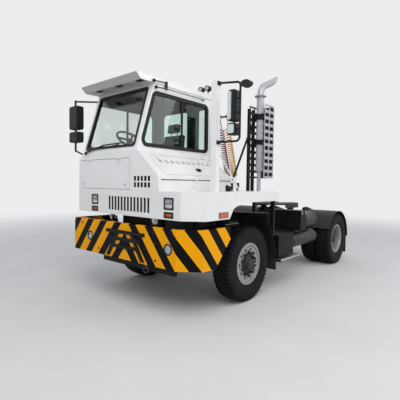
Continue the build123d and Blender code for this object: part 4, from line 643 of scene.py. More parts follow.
def read_along(points):
    """The length of the smooth route through these points, and a function that gives its places by share."""
    route = curve_of("route", points, resolution=12)
    line = bpy.data.meshes.new_from_object(route)
    places = [vertex.co.copy() for vertex in line.vertices]
    bpy.data.objects.remove(route)
    bpy.data.meshes.remove(line)
    marks = [0.0]
    for near, far in zip(places, places[1:]):
        marks.append(marks[-1] + (far - near).length)

    def at(share):
        goal = share * marks[-1]
        for k in range(1, len(marks)):
            if goal <= marks[k]:
                return places[k - 1].lerp(places[k], (goal - marks[k - 1]) / (marks[k] - marks[k - 1]))
        return places[-1]

    return marks[-1], at


def curly_hose(name, head, foot, length, diameter, radius):
    """A hose wound round its route, wider apart at the top, with a straight tail at each end."""
    bends = [head.lerp(foot, share) + Vector((sag, 0, 0)) for share, sag in SAGS]
    run, at = read_along([head, *bends, foot])
    coil = (COIL_END - COIL_START) * run
    turns = math.sqrt((length - run + coil) ** 2 - coil ** 2) / (2 * math.pi * radius)
    side = Vector((0, 1, 0))
    across = (foot - head).normalized().cross(side)
    places = [at(share) for share in HEAD_TAIL]
    steps = int(turns * POINTS_PER_TURN)
    for k in range(steps + 1):
        s = k / steps
        angle = 2 * math.pi * turns * (EVEN * s + CLOSER * s * s)
        out = radius * min(1, 0.35 + 1.3 * s * turns, 0.35 + 1.3 * (1 - s) * turns)
        spot = at(COIL_START + (COIL_END - COIL_START) * s)
        places.append(spot + out * (math.cos(angle) * side + math.sin(angle) * across))
    places += [at(share) for share in FOOT_TAIL]
    return curve_of(name, places, diameter / 2)


class TRACTOR_OT_hoses(bpy.types.Operator):
    """The two curly air lines behind the cab, with their couplings"""
    bl_idname = "tractor.hoses"
    bl_label = "Air lines"

    def execute(self, context):
        sizes = context.scene.tractor_sizes
        length, diameter = sizes.hose_length, sizes.hose_diameter
        for colour, y in HOSE_Y.items():
            head, foot = (Vector((x, y, z)) for x, z in (HOSE_HEAD, HOSE_FOOT))
            look, line = f"hose_{colour}", f"air_line_{colour}"
            hose = curly_hose(f"{line}_hose", head, foot, length, diameter, sizes.coil_radius)
            hose.data.materials.append(finish(look))
            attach(hose, "chassis")
            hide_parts(line)
            nut_steps = [(0, 0.016), (0.003, 0.002), (0.002, 0.014), (0.002, 0.002)]
            nipples = [stand(disc("nut", 0.016, nut_steps, 6), end, (0.2 * way, 0, way))
                       for end, way in ((head, -1), (foot, 1))]
            nipple = dress(joined(f"{line}_ends", nipples), "chassis", "zinc_bolt")
            coupling = disc("coupling", 0.034, [(0, 0.012), (0.006, 0.008), (0.006, 0.012), (0.01, 0.004)])
            fit(f"coupling_{colour}", coupling, [head + Vector((0, 0, 0.008))], UP, "chassis", look, look,
                bevel=0.001)
        return {"FINISHED"}


# ---------------------------------------------------------------- wheels

TYRE_RADIUS, CROWN = 0.53, 0.56
NUT_RING, STUD_RING, CAP_BOLT_RING = 0.166, 0.14, 0.068
WHEELS = {    # axle's x, side, the tyres' and the disc's distance from the middle, how far the hub stands out
    "front_wheel_left": (FRONT_AXLE_X, 1, (1.005,), FRONT_DISC_Y, 0.05),
    "front_wheel_right": (FRONT_AXLE_X, -1, (1.005,), FRONT_DISC_Y, 0.05),
    "rear_wheels_left": (REAR_AXLE_X, 1, (1.076, 0.754), REAR_DISC_Y, 0.165),
    "rear_wheels_right": (REAR_AXLE_X, -1, (1.076, 0.754), REAR_DISC_Y, 0.165),
}
SIDE_SECTION = [(0.1, 0.292), (0.117, 0.297), (0.127, 0.31), (0.127, 0.326), (0.133, 0.34),
                (0.14, 0.372), (0.143, 0.41), (0.142, 0.442), (0.1385, 0.462), (0.1405, 0.468),
                (0.1405, 0.474), (0.1365, 0.482), (0.135, 0.5), (0.13, 0.515)]
RIBS = [(0.122, 0.084), (0.073, 0.036), (0.025, 0.0)]    # outer and inner edges of the tread's ribs
SHOULDER_Y, SHOULDER_RADIUS, RIB_EDGE_Y, MIDDLE_RIB_Y = 0.083, 0.48, 0.074, 0.03


def tread_radius(y):
    return TYRE_RADIUS - CROWN * y * y


def tyre_section(depth):
    """Half of a tyre's outline, as distance from its middle plane and radius, then the other half."""
    half = list(SIDE_SECTION)
    for outer, inner in RIBS:
        half += [(outer, tread_radius(outer)), (inner, tread_radius(inner))]
        if inner:
            half += [(inner - edge, tread_radius(inner) - depth) for edge in (0.0025, 0.0085)]
    return half + [(-y, r) for y, r in reversed(half[:-1])]


def one_tyre(blocks, depth):
    """A tyre round the y axis: its outline spun, then its tread cut into blocks and shoulder lugs."""
    section = tyre_section(depth)
    tyre = start("circle", "tyre", vertices=len(section))
    for vertex, (y, radius) in zip(tyre.data.vertices, section):
        vertex.co = (0, y, radius)
    edit()
    bpy.ops.mesh.spin(steps=blocks * 4, angle=2 * math.pi, center=(0, 0, 0), axis=(0, 1, 0))
    close_up(tyre)

    def gap(centre):
        radius, across = math.hypot(centre.x, centre.z), centre.y
        step = math.floor(math.atan2(centre.x, centre.z) / (2 * math.pi) * blocks * 4)
        if abs(across) > SHOULDER_Y and radius > SHOULDER_RADIUS:
            return step % 4 in ((0, 1) if across > 0 else (2, 3))
        if radius > tread_radius(across) - 0.4 * depth and abs(across) < RIB_EDGE_Y:
            return step % 4 == (3 if abs(across) < MIDDLE_RIB_Y else 1)
        return False

    edit("DESELECT")
    bpy.ops.mesh.select_mode(type="FACE")
    leave()
    for face in tyre.data.polygons:
        face.select = gap(face.center)
    bpy.ops.object.mode_set(mode="EDIT")
    bpy.ops.mesh.extrude_region_shrink_fatten(TRANSFORM_OT_shrink_fatten={"value": -depth})
    close_up(tyre)
    return tyre


class TRACTOR_OT_tyres(bpy.types.Operator):
    """Tyres with a block tread and ringed side walls"""
    bl_idname = "tractor.tyres"
    bl_label = "Tyres"

    def execute(self, context):
        sizes = context.scene.tractor_sizes
        tyre = one_tyre(sizes.tread_blocks, sizes.tread_depth)
        for body, (x, side, rows, _, _) in WHEELS.items():
            name = body.replace("wheels", "tyres").replace("wheel", "tyre")
            copies = [moved(tyre, (x, side * y, AXLE_Z)) for y in rows]
            dress(joined(f"{name}_tread", copies), body, "tyre", "tyre", angle=28, replaces=[name])
        bpy.data.objects.remove(tyre)
        return {"FINISHED"}


class TRACTOR_OT_wheel_nuts(bpy.types.Operator):
    """Wheel nuts, hub ends with their bolts, and valves"""
    bl_idname = "tractor.wheel_nuts"
    bl_label = "Wheel nuts and hubs"

    def execute(self, context):
        for body, (x, side, _, disc_y, hub) in WHEELS.items():
            out, face, centre = (0, side, 0), side * disc_y, (x, 0, AXLE_Z)
            washer = disc("washer", 0.026, [(0, 0.004), (0.002, 0.001)], 20)
            nut = disc("nut", 0.0215, [(0, 0.022), (0.0035, 0.003), (0, 0.012), (0.005, 0.003)], 6)
            outer = stand(joined("nuts", [washer, nut]), (NUT_RING, face, 0), out)
            stud = disc("stud", 0.0168, [(0, 0.032), (0.0025, 0.0025), (0.004, 0.002)], 6)
            rings = [ring("outer", outer, 10, centre, turn=0.5),
                     ring("inner", stand(stud, (STUD_RING, face, 0), out), 10, centre)]
            dress(joined(f"{body}_nuts", rings), body, "nut_dark")
            cap_steps = [(0, 0.012), (0.005, 0.002), (0, hub - 0.014), (0.006, 0.006), (0.036, 0),
                         (0.003, 0.008), (0.006, 0.004), (0.014, 0.002)]
            cap = stand(disc(f"{body}_hub", 0.094, cap_steps, 40), (x, face, AXLE_Z), out)
            dress(cap, body, "cast", "cast", bevel=0.0008)
            bolt = stand(hex_bolt(0.0095, 0.008), (CAP_BOLT_RING, face + side * (hub + 0.006), 0), out)
            dress(ring(f"{body}_hub_bolts", bolt, 8, centre, turn=0.5), body, "nut_dark")
            ends = [(x + run, face + side * reach, AXLE_Z + 0.03)
                    for run, reach in ((0.245, 0.004), (0.252, 0.045))]
            dress(rod(f"{body}_valve", ends, 0.005), body, "zinc_bolt")
        return {"FINISHED"}


# ---------------------------------------------------------------- lamps

LAMP_Y, HEADLAMP_Z, INDICATOR_Z = 0.77, 1.398, 1.262
RECESS_X, PANEL_X = 2.65, 2.685
SIDE_LAMP = Vector((2.165, 1.2, 1.26))
FOG_Y, FOG_Z = 0.815, 0.862
TAIL_Z, WORK_LAMP_Z = 0.8, 3.18


class TRACTOR_OT_lamps(bpy.types.Operator):
    """Head, indicator, side, fog and tail lamps, each with its housing and lens, and the lamps of the roof"""
    bl_idname = "tractor.lamps"
    bl_label = "Lamps"

    def execute(self, context):
        def pair(piece, x, z, material, slot=None, facing=FRONT, y=LAMP_Y, body="cab", **looks):
            dress(mirrored_y(stand(piece, (x, y, z), facing)), body, material, slot, **looks)

        housing = [(0, 0.038), (0.003, 0.003), (0.013, 0), (0.003, -0.027)]
        pair(slab("head_frame", 0.168, 0.146, housing, 0.036), RECESS_X, HEADLAMP_Z, "seal", "black_plastic",
             bevel=0.001, replaces=["headlamps"])
        bowl = [(0, 0.02), (0.002, 0), (0.004, -0.005), (0.01, -0.006), (0.014, -0.004)]
        pair(slab("head_bowl", 0.134, 0.112, bowl, 0.033), RECESS_X + 0.014, HEADLAMP_Z, "reflector",
             angle=20)
        pair(slab("head_floor", 0.112, 0.04, [(0, 0.003), (0.006, 0.001)], 0.012), RECESS_X + 0.022,
             HEADLAMP_Z - 0.026, "reflector_bright", facing=(0.8, 0, 0.6), angle=10)
        brow = [(RECESS_X + 0.03, LAMP_Y + dy, HEADLAMP_Z + dz) for dy, dz in
                ((-0.056, -0.016), (-0.03, 0.006), (0.01, 0.01), (0.056, -0.004))]
        dress(mirrored_y(rod("head_brow", brow, 0.0035, bent=True)), "cab", "seal")
        pair(disc("head_bulb", 0.012, [(0, 0.01), (0.002, 0.002), (0.004, 0.002)], 24), RECESS_X + 0.02,
             HEADLAMP_Z + 0.026, "zinc_bolt", angle=50)
        pair(slab("head_lens", 0.13, 0.108, [(0, 0.003), (0.012, 0.002), (0.018, 0.001)], 0.032), PANEL_X,
             HEADLAMP_Z, "lamp_clear", "lamp_clear", angle=5)

        pair(slab("turn_frame", 0.163, 0.074, housing, 0.034), RECESS_X, INDICATOR_Z, "seal", "black_plastic",
             bevel=0.001, replaces=["indicators"])
        pair(slab("turn_lens", 0.126, 0.038, [(0, 0.018), (0.004, 0.003), (0.008, 0.001)], 0.015),
             RECESS_X + 0.012, INDICATOR_Z, "lamp_orange", "lamp_orange", angle=4)
        fit("side_base", slab("base", 0.19, 0.07, [(0, 0.005)], 0.008), [SIDE_LAMP], LEFT, "cab", "seal",
            "black_plastic", bevel=0.001)
        fit("side_lens", slab("lens", 0.182, 0.062, [(0, 0.008), (0.004, 0.002)], 0.008),
            [SIDE_LAMP + Vector((0, 0.0048, 0))], LEFT, "cab", "lamp_orange", "lamp_orange", angle=4)

        fog = dict(y=FOG_Y, body="chassis")
        rim = [(0, 0.032), (0.004, 0.002), (0.01, 0), (0.003, -0.022)]
        pair(disc("fog_rim", 0.0712, rim, 40), 2.706, FOG_Z, "seal", "lamp_clear", bevel=0.0008,
             replaces=["fog_lamps"], **fog)
        dish = [(0, 0.014), (0.002, 0), (0.006, -0.006), (0.012, -0.004), (0.014, -0.001)]
        pair(disc("fog_dish", 0.0535, dish), 2.718, FOG_Z, "reflector", angle=25, **fog)
        dome = [(0, 0.003), (0.008, 0.003), (0.014, 0.002), (0.016, 0.001)]
        pair(disc("fog_lens", 0.0545, dome), 2.731, FOG_Z, "lamp_clear", "lamp_clear", angle=5, **fog)

        tail = dict(facing=BACK, body="chassis")
        tray = slab("tail_tray", 0.36, 0.12, [(0, 0.048), (0.006, 0), (0.002, -0.018)], 0.014)
        pair(tray, -2.7, TAIL_Z, "seal", "black_plastic", y=0.7, bevel=0.001, replaces=["tail_lamps"], **tail)
        for name, y, width, look in (("turn", 0.81, 0.1, "lamp_orange"), ("stop", 0.7, 0.108, "lamp_red"),
                                     ("reverse", 0.59, 0.1, "lamp_clear")):
            pair(slab(f"tail_{name}", width, 0.1, [(0, 0.014), (0.004, 0.004)], 0.006), -2.7315, TAIL_Z, look,
                 look, y=y, angle=10, **tail)

        visor = slab("visor", 0.11, 0.05, [(0, 0.004), (0.006, 0), (0.002, -0.003), (0.008, 0.002)], 0.018)
        fit("visor_lamps", visor, [(2.585, y, 2.981) for y in (-0.806, -0.328, 0.108)], DOWN, "cab", "seal",
            "black_plastic", bevel=0.0006)
        spots = [(y, WORK_LAMP_Z) for y in (0.11, -0.03)]
        for name, radius, x, facing, look, steps in (
                ("rims", 0.046, 1.195, FRONT, "seal",
                 [(0, 0.006), (0.003, 0.002), (0.005, 0), (0.001, -0.006)]),
                ("lenses", 0.0365, 1.196, FRONT, "reflector", [(0, 0.003), (0.008, 0.003), (0.012, 0.002)]),
                ("backs", 0.046, 1.135, BACK, "seal",
                 [(0, 0.004), (0.006, 0.008), (0.01, 0.008), (0.014, 0.004)])):
            lamp = disc("lamp", radius, steps)
            fit(f"work_{name}", lamp, [(x, *spot) for spot in spots], facing, "cab", look, angle=50)
        return {"FINISHED"}


# ---------------------------------------------------------------- mirrors

HEADS = (    # x of the glass and of the back, y, z, width and height
    (2.137, 2.227, 1.339, 2.562, 0.12, 0.367),
    (2.137, 2.227, 1.339, 2.29, 0.128, 0.14),
    (2.515, 2.605, -1.49, 2.672, 0.26, 0.37),
    (2.515, 2.605, -1.49, 2.365, 0.26, 0.17),
)


class TRACTOR_OT_mirrors(bpy.types.Operator):
    """Mirror glass in raised rims, and bulged backs on the housings"""
    bl_idname = "tractor.mirrors"
    bl_label = "Mirrors"

    def execute(self, context):
        backs, rims, glasses = [], [], []
        for rear, front, y, z, width, height in HEADS:
            for row, less, corner, x, facing, steps in (
                    (backs, 0, 0.034, front, FRONT,
                     [(0, 0.003), (0.006, 0.007), (0.012, 0.005), (0.018, 0.002)]),
                    (rims, 0, 0.034, rear, BACK, [(0, 0.006), (0.008, 0), (0.002, -0.004)]),
                    (glasses, 0.022, 0.024, rear - 0.001, BACK, [(0, 0.003), (0.012, 0.001)])):
                row.append(stand(slab("part", width - less, height - less, steps, corner), (x, y, z), facing))
        pale = slab("pale", 0.056, 0.33, [(0, 0.004), (0.008, 0.003), (0.01, 0.001)], 0.024)
        low = slab("low", 0.094, 0.104, [(0, 0.004), (0.008, 0.002), (0.01, 0.001)], 0.02)
        glasses.append(stand(pale, (2.2405, 1.312, 2.562), (1, -0.05, 0)))
        glasses.append(stand(low, (2.24, 1.336, 2.29), FRONT))
        for name, row, look in (("backs", backs, dict(angle=60)), ("rims", rims, dict(bevel=0.0008))):
            dress(joined(f"mirror_{name}", row), "cab", "black_plastic", "black_plastic", **look)
        dress(joined("mirror_glasses", glasses), "cab", "mirror_glass", angle=12)
        return {"FINISHED"}


# ---------------------------------------------------------------- seat

SEAT_X, SEAT_Y = 1.66, -0.45
PADS = {    # lowest and highest corner, and how far it leans per metre of height
    "seat_cushion": ((1.44, -0.685, 1.955), (1.915, -0.215, 2.065), 0.0),
    "seat_back": ((1.338, -0.67, 2.075), (1.445, -0.23, 2.455), -0.1),
    "seat_headrest": ((1.338, -0.575, 2.48), (1.425, -0.325, 2.63), -0.1),
}
FILL_FRAMES, FILL_REACH = 20, 0.01
SEAM_PLACE, SEAM_WIDTH, SEAM_DEPTH = 0.62, 0.05, 0.006    # the first two as shares of half the pad's width


def crowned(name, low, high, lean):
    """A pad: a rounded block, filled out by a short cloth simulation, given two seams, then smoothed."""
    low, high = Vector(low), Vector(high)
    middle, size = (low + high) / 2, high - low
    pad = start("cube", name, size=1, location=middle, scale=size * 0.97)
    bpy.ops.object.transform_apply()
    modify(pad, "BEVEL", width=0.022, segments=4)
    modify(pad, "REMESH", mode="VOXEL", voxel_size=0.012)
    before = [vertex.co.copy() for vertex in pad.data.vertices]
    fill = pad.modifiers.new("fill", "CLOTH")
    fill.settings.use_pressure = True
    fill.settings.uniform_pressure_force = 4.0
    fill.settings.effector_weights.gravity = 0.0
    fill.point_cache.frame_start, fill.point_cache.frame_end = 1, FILL_FRAMES
    for step in range(1, FILL_FRAMES + 1):
        bpy.context.scene.frame_set(step)
    shaped = pad.evaluated_get(bpy.context.evaluated_depsgraph_get())
    after = [vertex.co.copy() for vertex in shaped.to_mesh().vertices]
    shaped.to_mesh_clear()
    pad.modifiers.remove(fill)
    bpy.context.scene.frame_set(1)
    for vertex, old, new in zip(pad.data.vertices, before, after):
        shift = new - old
        vertex.co = old + shift * min(1.0, FILL_REACH / max(shift.length, 1e-6))
    thin = min(range(3), key=lambda axis: size[axis])
    for vertex in pad.data.vertices:
        across = (vertex.co.y - middle.y) / (size.y / 2)
        seam = max(0.0, 1 - abs(abs(across) - SEAM_PLACE) / SEAM_WIDTH)
        reach = vertex.co[thin] - middle[thin]
        if abs(reach) > 0.3 * size[thin]:
            vertex.co[thin] -= math.copysign(SEAM_DEPTH * seam, reach)
        vertex.co.x += lean * (vertex.co.z - low.z)
    modify(pad, "SUBSURF", levels=1, render_levels=1)
    return pad


class TRACTOR_OT_seat(bpy.types.Operator):
    """The driver's seat: padded cushion, back and headrest on a sprung base"""
    bl_idname = "tractor.seat"
    bl_label = "Seat"

    def execute(self, context):
        for name, (low, high, lean) in PADS.items():
            pad = dress(crowned(name, low, high, lean), "cab", "cloth", "cloth", angle=60)
            if name == "seat_cushion":
                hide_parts("seat")
        base = slab("seat_base", 0.34, 0.34, [(0, 0.03), (0.02, 0.06), (0, 0.02)], 0.03)
        parts = [stand(base, (SEAT_X, SEAT_Y, 1.59), UP)]
        for width, first in ((0.3, 0), (0.27, 1)):
            places = [(SEAT_X, SEAT_Y, 1.695 + 0.03 * k) for k in range(first, 7, 2)]
            parts.append(set_down("bellows", slab("fold", width, width, [(0, 0.03)], 0.04), places, UP))
        pan = slab("pan", 0.46, 0.44, [(0, 0.012), (0.01, 0.028)], 0.05)
        parts.append(stand(pan, (SEAT_X + 0.015, SEAT_Y, 1.905), UP))
        parts.append(rod("hinge", [(1.41, -0.68, 2.03), (1.41, -0.22, 2.03)], 0.018))
        parts += [rod("post", [(1.385, y, 2.4), (1.345, y, 2.52)], 0.007) for y in (-0.52, -0.38)]
        dress(joined("seat_frame", parts), "cab", "black_plastic", "black_plastic", bevel=0.002)
        return {"FINISHED"}


# ---------------------------------------------------------------- cab trim

SLOPE_OUT = Vector((0, 0.647, 0.763))
RAIL_Y = (-1.045, 0.145)


def bolts_at(name, places, facing, size, height, material="zinc_bolt"):
    """Bolt heads of one kind on one face of the chassis."""
    fit(name, hex_bolt(size, height), places, facing, "chassis", material)


def slope_point(x, along, out):
    """A point on the side hatch's slope, along metres down it from the side window and out metres off it."""
    return Vector((x, 0.205 + 0.763 * along, 2.066 - 0.647 * along)) + SLOPE_OUT * out


class TRACTOR_OT_cab_trim(bpy.types.Operator):
    """Hatch lugs and handle, a sill seal that also stands for the shadow line below the side hatch, hatch
    locks, wiper blade, door handle, entry rails and deck latch
    """
    bl_idname = "tractor.cab_trim"
    bl_label = "Cab trim"

    def execute(self, context):
        lug = slab("lug", 0.075, 0.034, [(0, 0.008), (0.004, 0.004), (0.008, 0.006)], 0.014)
        fit("hatch_lugs", lug, [slope_point(x, 0.125, 0.002) for x in (2.44, 1.6)], SLOPE_OUT, "side_hatch",
            "cab_white", "cab_white", FRONT, bevel=0.001)
        cup = slab("cup", 0.1, 0.062, [(0, 0.004), (0.006, 0), (0.003, -0.003)], 0.014)
        grip = slab("grip", 0.08, 0.026, [(0, 0.008), (0.006, 0.004)], 0.01)
        handle = [stand(piece, slope_point(1.8, 0.36, out), SLOPE_OUT, LEFT)
                  for piece, out in ((cup, 0.003), (grip, 0.005))]
        dress(joined("hatch_handle", handle), "side_hatch", "seal", bevel=0.0008)
        # A dark rubber strip along the sill; it also stands in for the shadow line under the side hatch's
        # lower edge.
        dress(rod("sill_seal", [(2.64, 0.588, 1.688), (1.16, 0.588, 1.688)], 0.0055), "cab", "seal")
        lock = disc("lock", 0.013, [(0, 0.003), (0.003, 0.002), (0.004, 0)], 20)
        fit("front_hatch_locks", lock, [(2.709, y, 1.62) for y in (-1.06, -0.035)], FRONT, "front_hatch",
            "zinc_bolt")

        arc = [(2.7, -0.98, 2.112), (2.69, -0.7, 2.128), (2.69, -0.44, 2.142), (2.7, -0.18, 2.16)]
        dress(rod("blade", arc, 0.006, bent=True), "cab", "seal", "black_plastic")
        pull = [(x, -0.27, z) for x, z in ((1.137, 2.05), (1.095, 2.05), (1.095, 2.3), (1.137, 2.3))]
        latch = slab("door_lock", 0.06, 0.13, [(0, 0.006), (0.004, 0.002)], 0.01)
        handles = [rod("door_grip", pull, 0.01), stand(latch, (1.137, -0.3, 1.9), BACK)]
        dress(joined("door_handles", handles), "rear_door", "black_plastic", "black_plastic", bevel=0.001)
        bow = [(x, 0, z) for x, z in
               ((1.16, 1.95), (1.1, 1.95), (1.1, 2.02), (1.1, 2.65), (1.1, 2.72), (1.16, 2.72))]
        rails = spread("rails", rod("rail", bow, 0.014, bent=True), [Vector((0, y, 0)) for y in RAIL_Y])
        feet = set_down("feet", disc("foot", 0.026, [(0, 0.006), (0.006, 0.003)], 24),
                        [(1.16, y, z) for y in RAIL_Y for z in (1.95, 2.72)], BACK)
        dress(joined("entry_rails", [rails, feet]), "cab", "zinc_bolt", bevel=0.0006)

        block = stand(slab("latch", 0.07, 0.05, [(0, 0.06), (0.008, 0.01)], 0.006), (1.665, 0.905, 1.545), UP)
        claw = [(1.665, y, z) for y, z in ((0.905, 1.6), (0.885, 1.636), (0.86, 1.61))]
        hook = rod("hook", claw, 0.009, bent=True)
        dress(joined("deck_latch", [block, hook]), "chassis", "seal", bevel=0.0015)
        return {"FINISHED"}


# ---------------------------------------------------------------- front and frame trim

STACK_X, STACK_Y = 0.97, 0.97
TANKS = ((-0.885, -0.295, 1.0, 0.15), (-0.955, 0.045, 0.68, 0.13))    # rear and front x, z and radius
TANK_Y = 1.01
BATTERY_X = -0.165


class TRACTOR_OT_bumper_trim(bpy.types.Operator):
    """Bolts and tow ring of the bumper"""
    bl_idname = "tractor.bumper_trim"
    bl_label = "Bumper trim"

    def execute(self, context):
        places = [(2.736, y, 1.04) for y in (-1.02, -0.58, 0.55, 0.9)]
        places += [(2.736, y, z) for y in (-0.6, 0.6) for z in (0.7, 0.9)]
        bolts_at("bumper_bolts", places, FRONT, 0.011, 0.008, "nut_dark")
        eye = start("torus", "tow_ring", major_radius=0.034, minor_radius=0.009, major_segments=32,
                    minor_segments=12, location=(2.735, 0.427, 0.555), rotation=(0, math.pi / 2, 0.3))
        bpy.ops.object.transform_apply()
        tab = stand(slab("tab", 0.05, 0.06, [(0, 0.012), (0.004, 0.002)], 0.012), (2.722, 0.427, 0.6), FRONT)
        dress(joined("tow_ring", [eye, tab]), "chassis", "nut_dark", bevel=0.001)
        return {"FINISHED"}


class TRACTOR_OT_exhaust_trim(bpy.types.Operator):
    """Bolts of the stack's flange, bands of the stack and bolts of its guard"""
    bl_idname = "tractor.exhaust_trim"
    bl_label = "Exhaust trim"

    def execute(self, context):
        bolt = stand(hex_bolt(0.008, 0.007), (0.074, 0, 0), UP)
        bolts = ring("stack_flange_bolts", bolt, 8, (STACK_X, STACK_Y, 2.972), "Z", 0.5)
        dress(bolts, "chassis", "zinc_bolt")
        band = disc("band", 0.0575, [(0, 0.01), (0.0035, 0.002)], 40)
        fit("stack_bands", band, [(STACK_X, STACK_Y, z) for z in (1.862, 2.05, 2.935)], UP, "chassis",
            "exhaust_grey", "exhaust_grey", angle=30)
        places = [(x, 1.1, z) for x in (0.8, 1.03) for z in (1.8, 2.1, 2.4, 2.7)]
        bolts_at("guard_bolts", places, LEFT, 0.007, 0.006)
        return {"FINISHED"}


class TRACTOR_OT_frame_trim(bpy.types.Operator):
    """Bolts, tank bands and drains, the battery box's lid and latches, and the steps' treads"""
    bl_idname = "tractor.frame_trim"
    bl_label = "Frame trim"

    def execute(self, context):
        for side, name in ((1, "left"), (-1, "right")):
            places = [(x, side * 0.43, z) for x in (-2.55, -2.3, -1.6, -0.9, -0.55, 0.15, 0.7, 2.3)
                      for z in (0.775, 0.915)]
            bolts_at(f"rail_bolts_{name}", places, (0, side, 0), 0.012, 0.01, "nut_dark")
        bands = []
        for rear, front, z, radius in TANKS:
            places = [(rear + (front - rear) * share - 0.02, TANK_Y, z) for share in (0.2, 0.8)]
            bands.append(set_down("band", disc("hoop", radius + 0.0035, [(0, 0.04)], 48), places, FRONT))
            for x, facing in ((rear, BACK), (front, FRONT)):
                steps = [(0, 0.004), (radius * 0.2, 0.012), (radius * 0.25, 0.006)]
                bands.append(stand(disc("end", radius * 0.86, steps, 40), (x, TANK_Y, z), facing))
        dress(joined("tank_bands", bands), "chassis", "tank_grey", "tank_grey", angle=25)
        drain = disc("drain", 0.016, [(0, 0.014), (0.003, 0.004)], 6)
        fit("tank_drains", drain, [(-0.59, TANK_Y, 0.852), (-0.455, TANK_Y, 0.552)], DOWN, "chassis",
            "zinc_bolt")

        lid = slab("lid", 0.61, 0.236, [(0, 0.018), (0.005, 0.005)], 0.012)
        fit("battery_lid", lid, [(BATTERY_X, 0.9, 1.178)], UP, "chassis", "frame_black", "frame_black",
            bevel=0.002)
        latch = slab("latch", 0.03, 0.07, [(0, 0.006), (0.004, 0.008)], 0.006)
        fit("battery_latches", latch, [(BATTERY_X + dx, 1.2, 1.165) for dx in (-0.07, 0.07)], LEFT, "chassis",
            "zinc_bolt", bevel=0.001)

        slat = slab("slat", 0.245, 0.014, [(0, 0.006), (0.003, 0.003)])
        slats = set_down("slats", slat, [(-0.03 + 0.0585 * k, 1.08, 0.459) for k in range(12)], UP)
        edge = slab("edge", 0.7, 0.034, [(0, 0.006), (0.003, 0.002)], 0.004)
        parts = [slats, stand(edge, (0.295, 1.199, 0.452), LEFT)]
        dress(joined("step_treads", parts), "chassis", "bright_step", bevel=0.001)
        return {"FINISHED"}


# ---------------------------------------------------------------- stage

PHOTO_SIZE = 400
FOCAL_PIXELS = 349.2
SENSOR = 36.0
EYE = Vector((5.6, 3.735, 1.642))
YAW, PITCH, ROLL = 40.34, 2.66, 0.76
SKY, SKY_LIGHT = (0.84, 0.85, 0.87), (0.62, 0.64, 0.68)    # as the camera sees it, and as it lights
FLOOR_SIZE, FADE_START, FADE_END = 120, 5.0, 16.0          # the floor turns into sky between the last two
LAMPS = {    # place, aim and share of the key light's strength
    "key_light": ((6.0, 5.0, 8.0), (0.5, 0, 1.2), 1.0),
    "fill_light": ((-2.0, 7.5, 5.0), (-0.8, 0, 1.0), 0.4),
}
LAMP_SIZE = 6.0


def add_camera():
    """The photo's camera."""
    data = bpy.data.cameras.new("photo_camera")
    data.sensor_width = SENSOR
    data.lens = SENSOR * FOCAL_PIXELS / PHOTO_SIZE
    camera = added("photo_camera", data)
    yaw, pitch, roll = (math.radians(a) for a in (YAW, PITCH, ROLL))
    ahead = Vector((-math.cos(yaw) * math.cos(pitch), -math.sin(yaw) * math.cos(pitch), -math.sin(pitch)))
    right = ahead.cross(Vector(UP)).normalized()
    up = right.cross(ahead)
    right, up = (math.cos(roll) * right + math.sin(roll) * up, -math.sin(roll) * right + math.cos(roll) * up)
    camera.matrix_world = Matrix.Translation(EYE) @ Matrix((right, up, -ahead)).transposed().to_4x4()
    bpy.context.scene.camera = camera


def add_floor(colour):
    """A pale floor that fades into the sky in the camera's eyes, far from the tractor."""
    paint = Finish("floor_grey")
    paint.base(paint.ramp(paint.noise(1.5, 5.0), (0.3, dimmed(colour, 0.95)), (0.7, colour)))
    paint.set(Roughness=0.9)
    reach = paint.add("VectorMath", operation="LENGTH")
    paint.link(paint.place, reach.inputs[0])
    fade = paint.add("MapRange", interpolation_type="SMOOTHSTEP", From_Min=FADE_START, From_Max=FADE_END)
    paint.link(reach.outputs["Value"], fade.inputs["Value"])
    seen = paint.add("LightPath").outputs["Is Camera Ray"]
    blend = paint.add("MixShader")
    for source, socket in zip((paint.calc("MULTIPLY", fade.outputs["Result"], seen), paint.shader.outputs[0],
                               paint.add("Emission", Color=(*SKY, 1)).outputs[0]), blend.inputs):
        paint.link(source, socket)
    out = next(n for n in paint.tree.nodes if n.type == "OUTPUT_MATERIAL")
    paint.link(blend.outputs[0], out.inputs["Surface"])
    floor = start("plane", "floor", size=FLOOR_SIZE)
    floor.data.materials.append(paint.material)


def add_sky():
    """A dim even sky that looks brighter to the camera, in reflections and through glass."""
    world = bpy.data.worlds.new("pale_sky")
    sky = Shading(world)
    path = sky.add("LightPath").outputs
    camera, through, shiny = (path[f"Is {kind} Ray"] for kind in ("Camera", "Transmission", "Glossy"))
    seen = sky.calc("MAXIMUM", camera, through).at_least(shiny)
    sky.link(sky.mixed(seen, SKY_LIGHT, SKY), sky.tree.nodes["Background"].inputs["Color"])
    bpy.context.scene.world = world


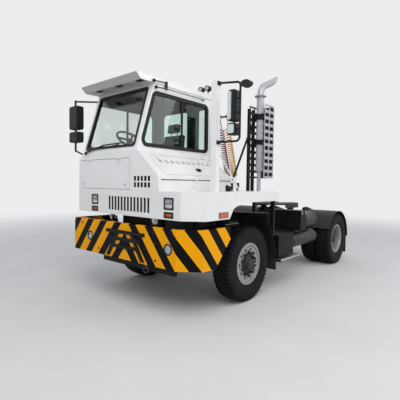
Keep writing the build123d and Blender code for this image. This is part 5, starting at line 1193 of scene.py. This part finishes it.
def add_lamp(name, place, aim, energy):
    """A square soft light that looks at a place."""
    light = bpy.data.lights.new(name, "AREA")
    light.energy, light.shape, light.size, light.size_y = energy, "RECTANGLE", LAMP_SIZE, LAMP_SIZE
    lamp = added(name, light)
    lamp.location = place
    lamp.rotation_euler = (Vector(aim) - Vector(place)).to_track_quat("-Z", "Y").to_euler()


class TRACTOR_OT_stage(bpy.types.Operator):
    """Camera, floor, backdrop and lights"""
    bl_idname = "tractor.stage"
    bl_label = "Stage"

    def execute(self, context):
        settings = context.scene.tractor_stage
        add_camera()
        add_floor(tuple(settings.floor))
        add_sky()
        for name, (place, aim, share) in LAMPS.items():
            add_lamp(name, place, aim, settings.key * share)
        context.scene.view_settings.view_transform = "Standard"
        return {"FINISHED"}


class TRACTOR_PT_panel(bpy.types.Panel):
    """Everything that dresses the tractor, in the order it is made"""
    bl_idname = "TRACTOR_PT_panel"
    bl_label = "Tractor"
    bl_space_type = "VIEW_3D"
    bl_region_type = "UI"
    bl_category = "Tractor"

    def draw(self, context):
        for name, kind in GROUPS.items():
            for setting in kind.__annotations__:
                self.layout.prop(getattr(context.scene, name), setting)
        for operator in STEPS:
            self.layout.operator(operator.bl_idname)


STEPS = (TRACTOR_OT_stage, TRACTOR_OT_finishes, TRACTOR_OT_hoses, TRACTOR_OT_tyres, TRACTOR_OT_wheel_nuts,
         TRACTOR_OT_lamps, TRACTOR_OT_mirrors, TRACTOR_OT_seat, TRACTOR_OT_cab_trim, TRACTOR_OT_bumper_trim,
         TRACTOR_OT_exhaust_trim, TRACTOR_OT_frame_trim)
GROUPS = {"tractor_colours": TractorColours, "tractor_sizes": TractorSizes, "tractor_stage": TractorStage}
CLASSES = (*GROUPS.values(), *STEPS, TRACTOR_PT_panel)


def register():
    for cls in CLASSES:
        bpy.utils.register_class(cls)
    for name, group in GROUPS.items():
        setattr(bpy.types.Scene, name, PointerProperty(type=group))


def unregister():
    for name in GROUPS:
        delattr(bpy.types.Scene, name)
    for cls in reversed(CLASSES):
        bpy.utils.unregister_class(cls)


def main():
    register()
    for step in STEPS:
        category, name = step.bl_idname.split(".")
        getattr(getattr(bpy.ops, category), name)()


if __name__ == "__main__":
    main()
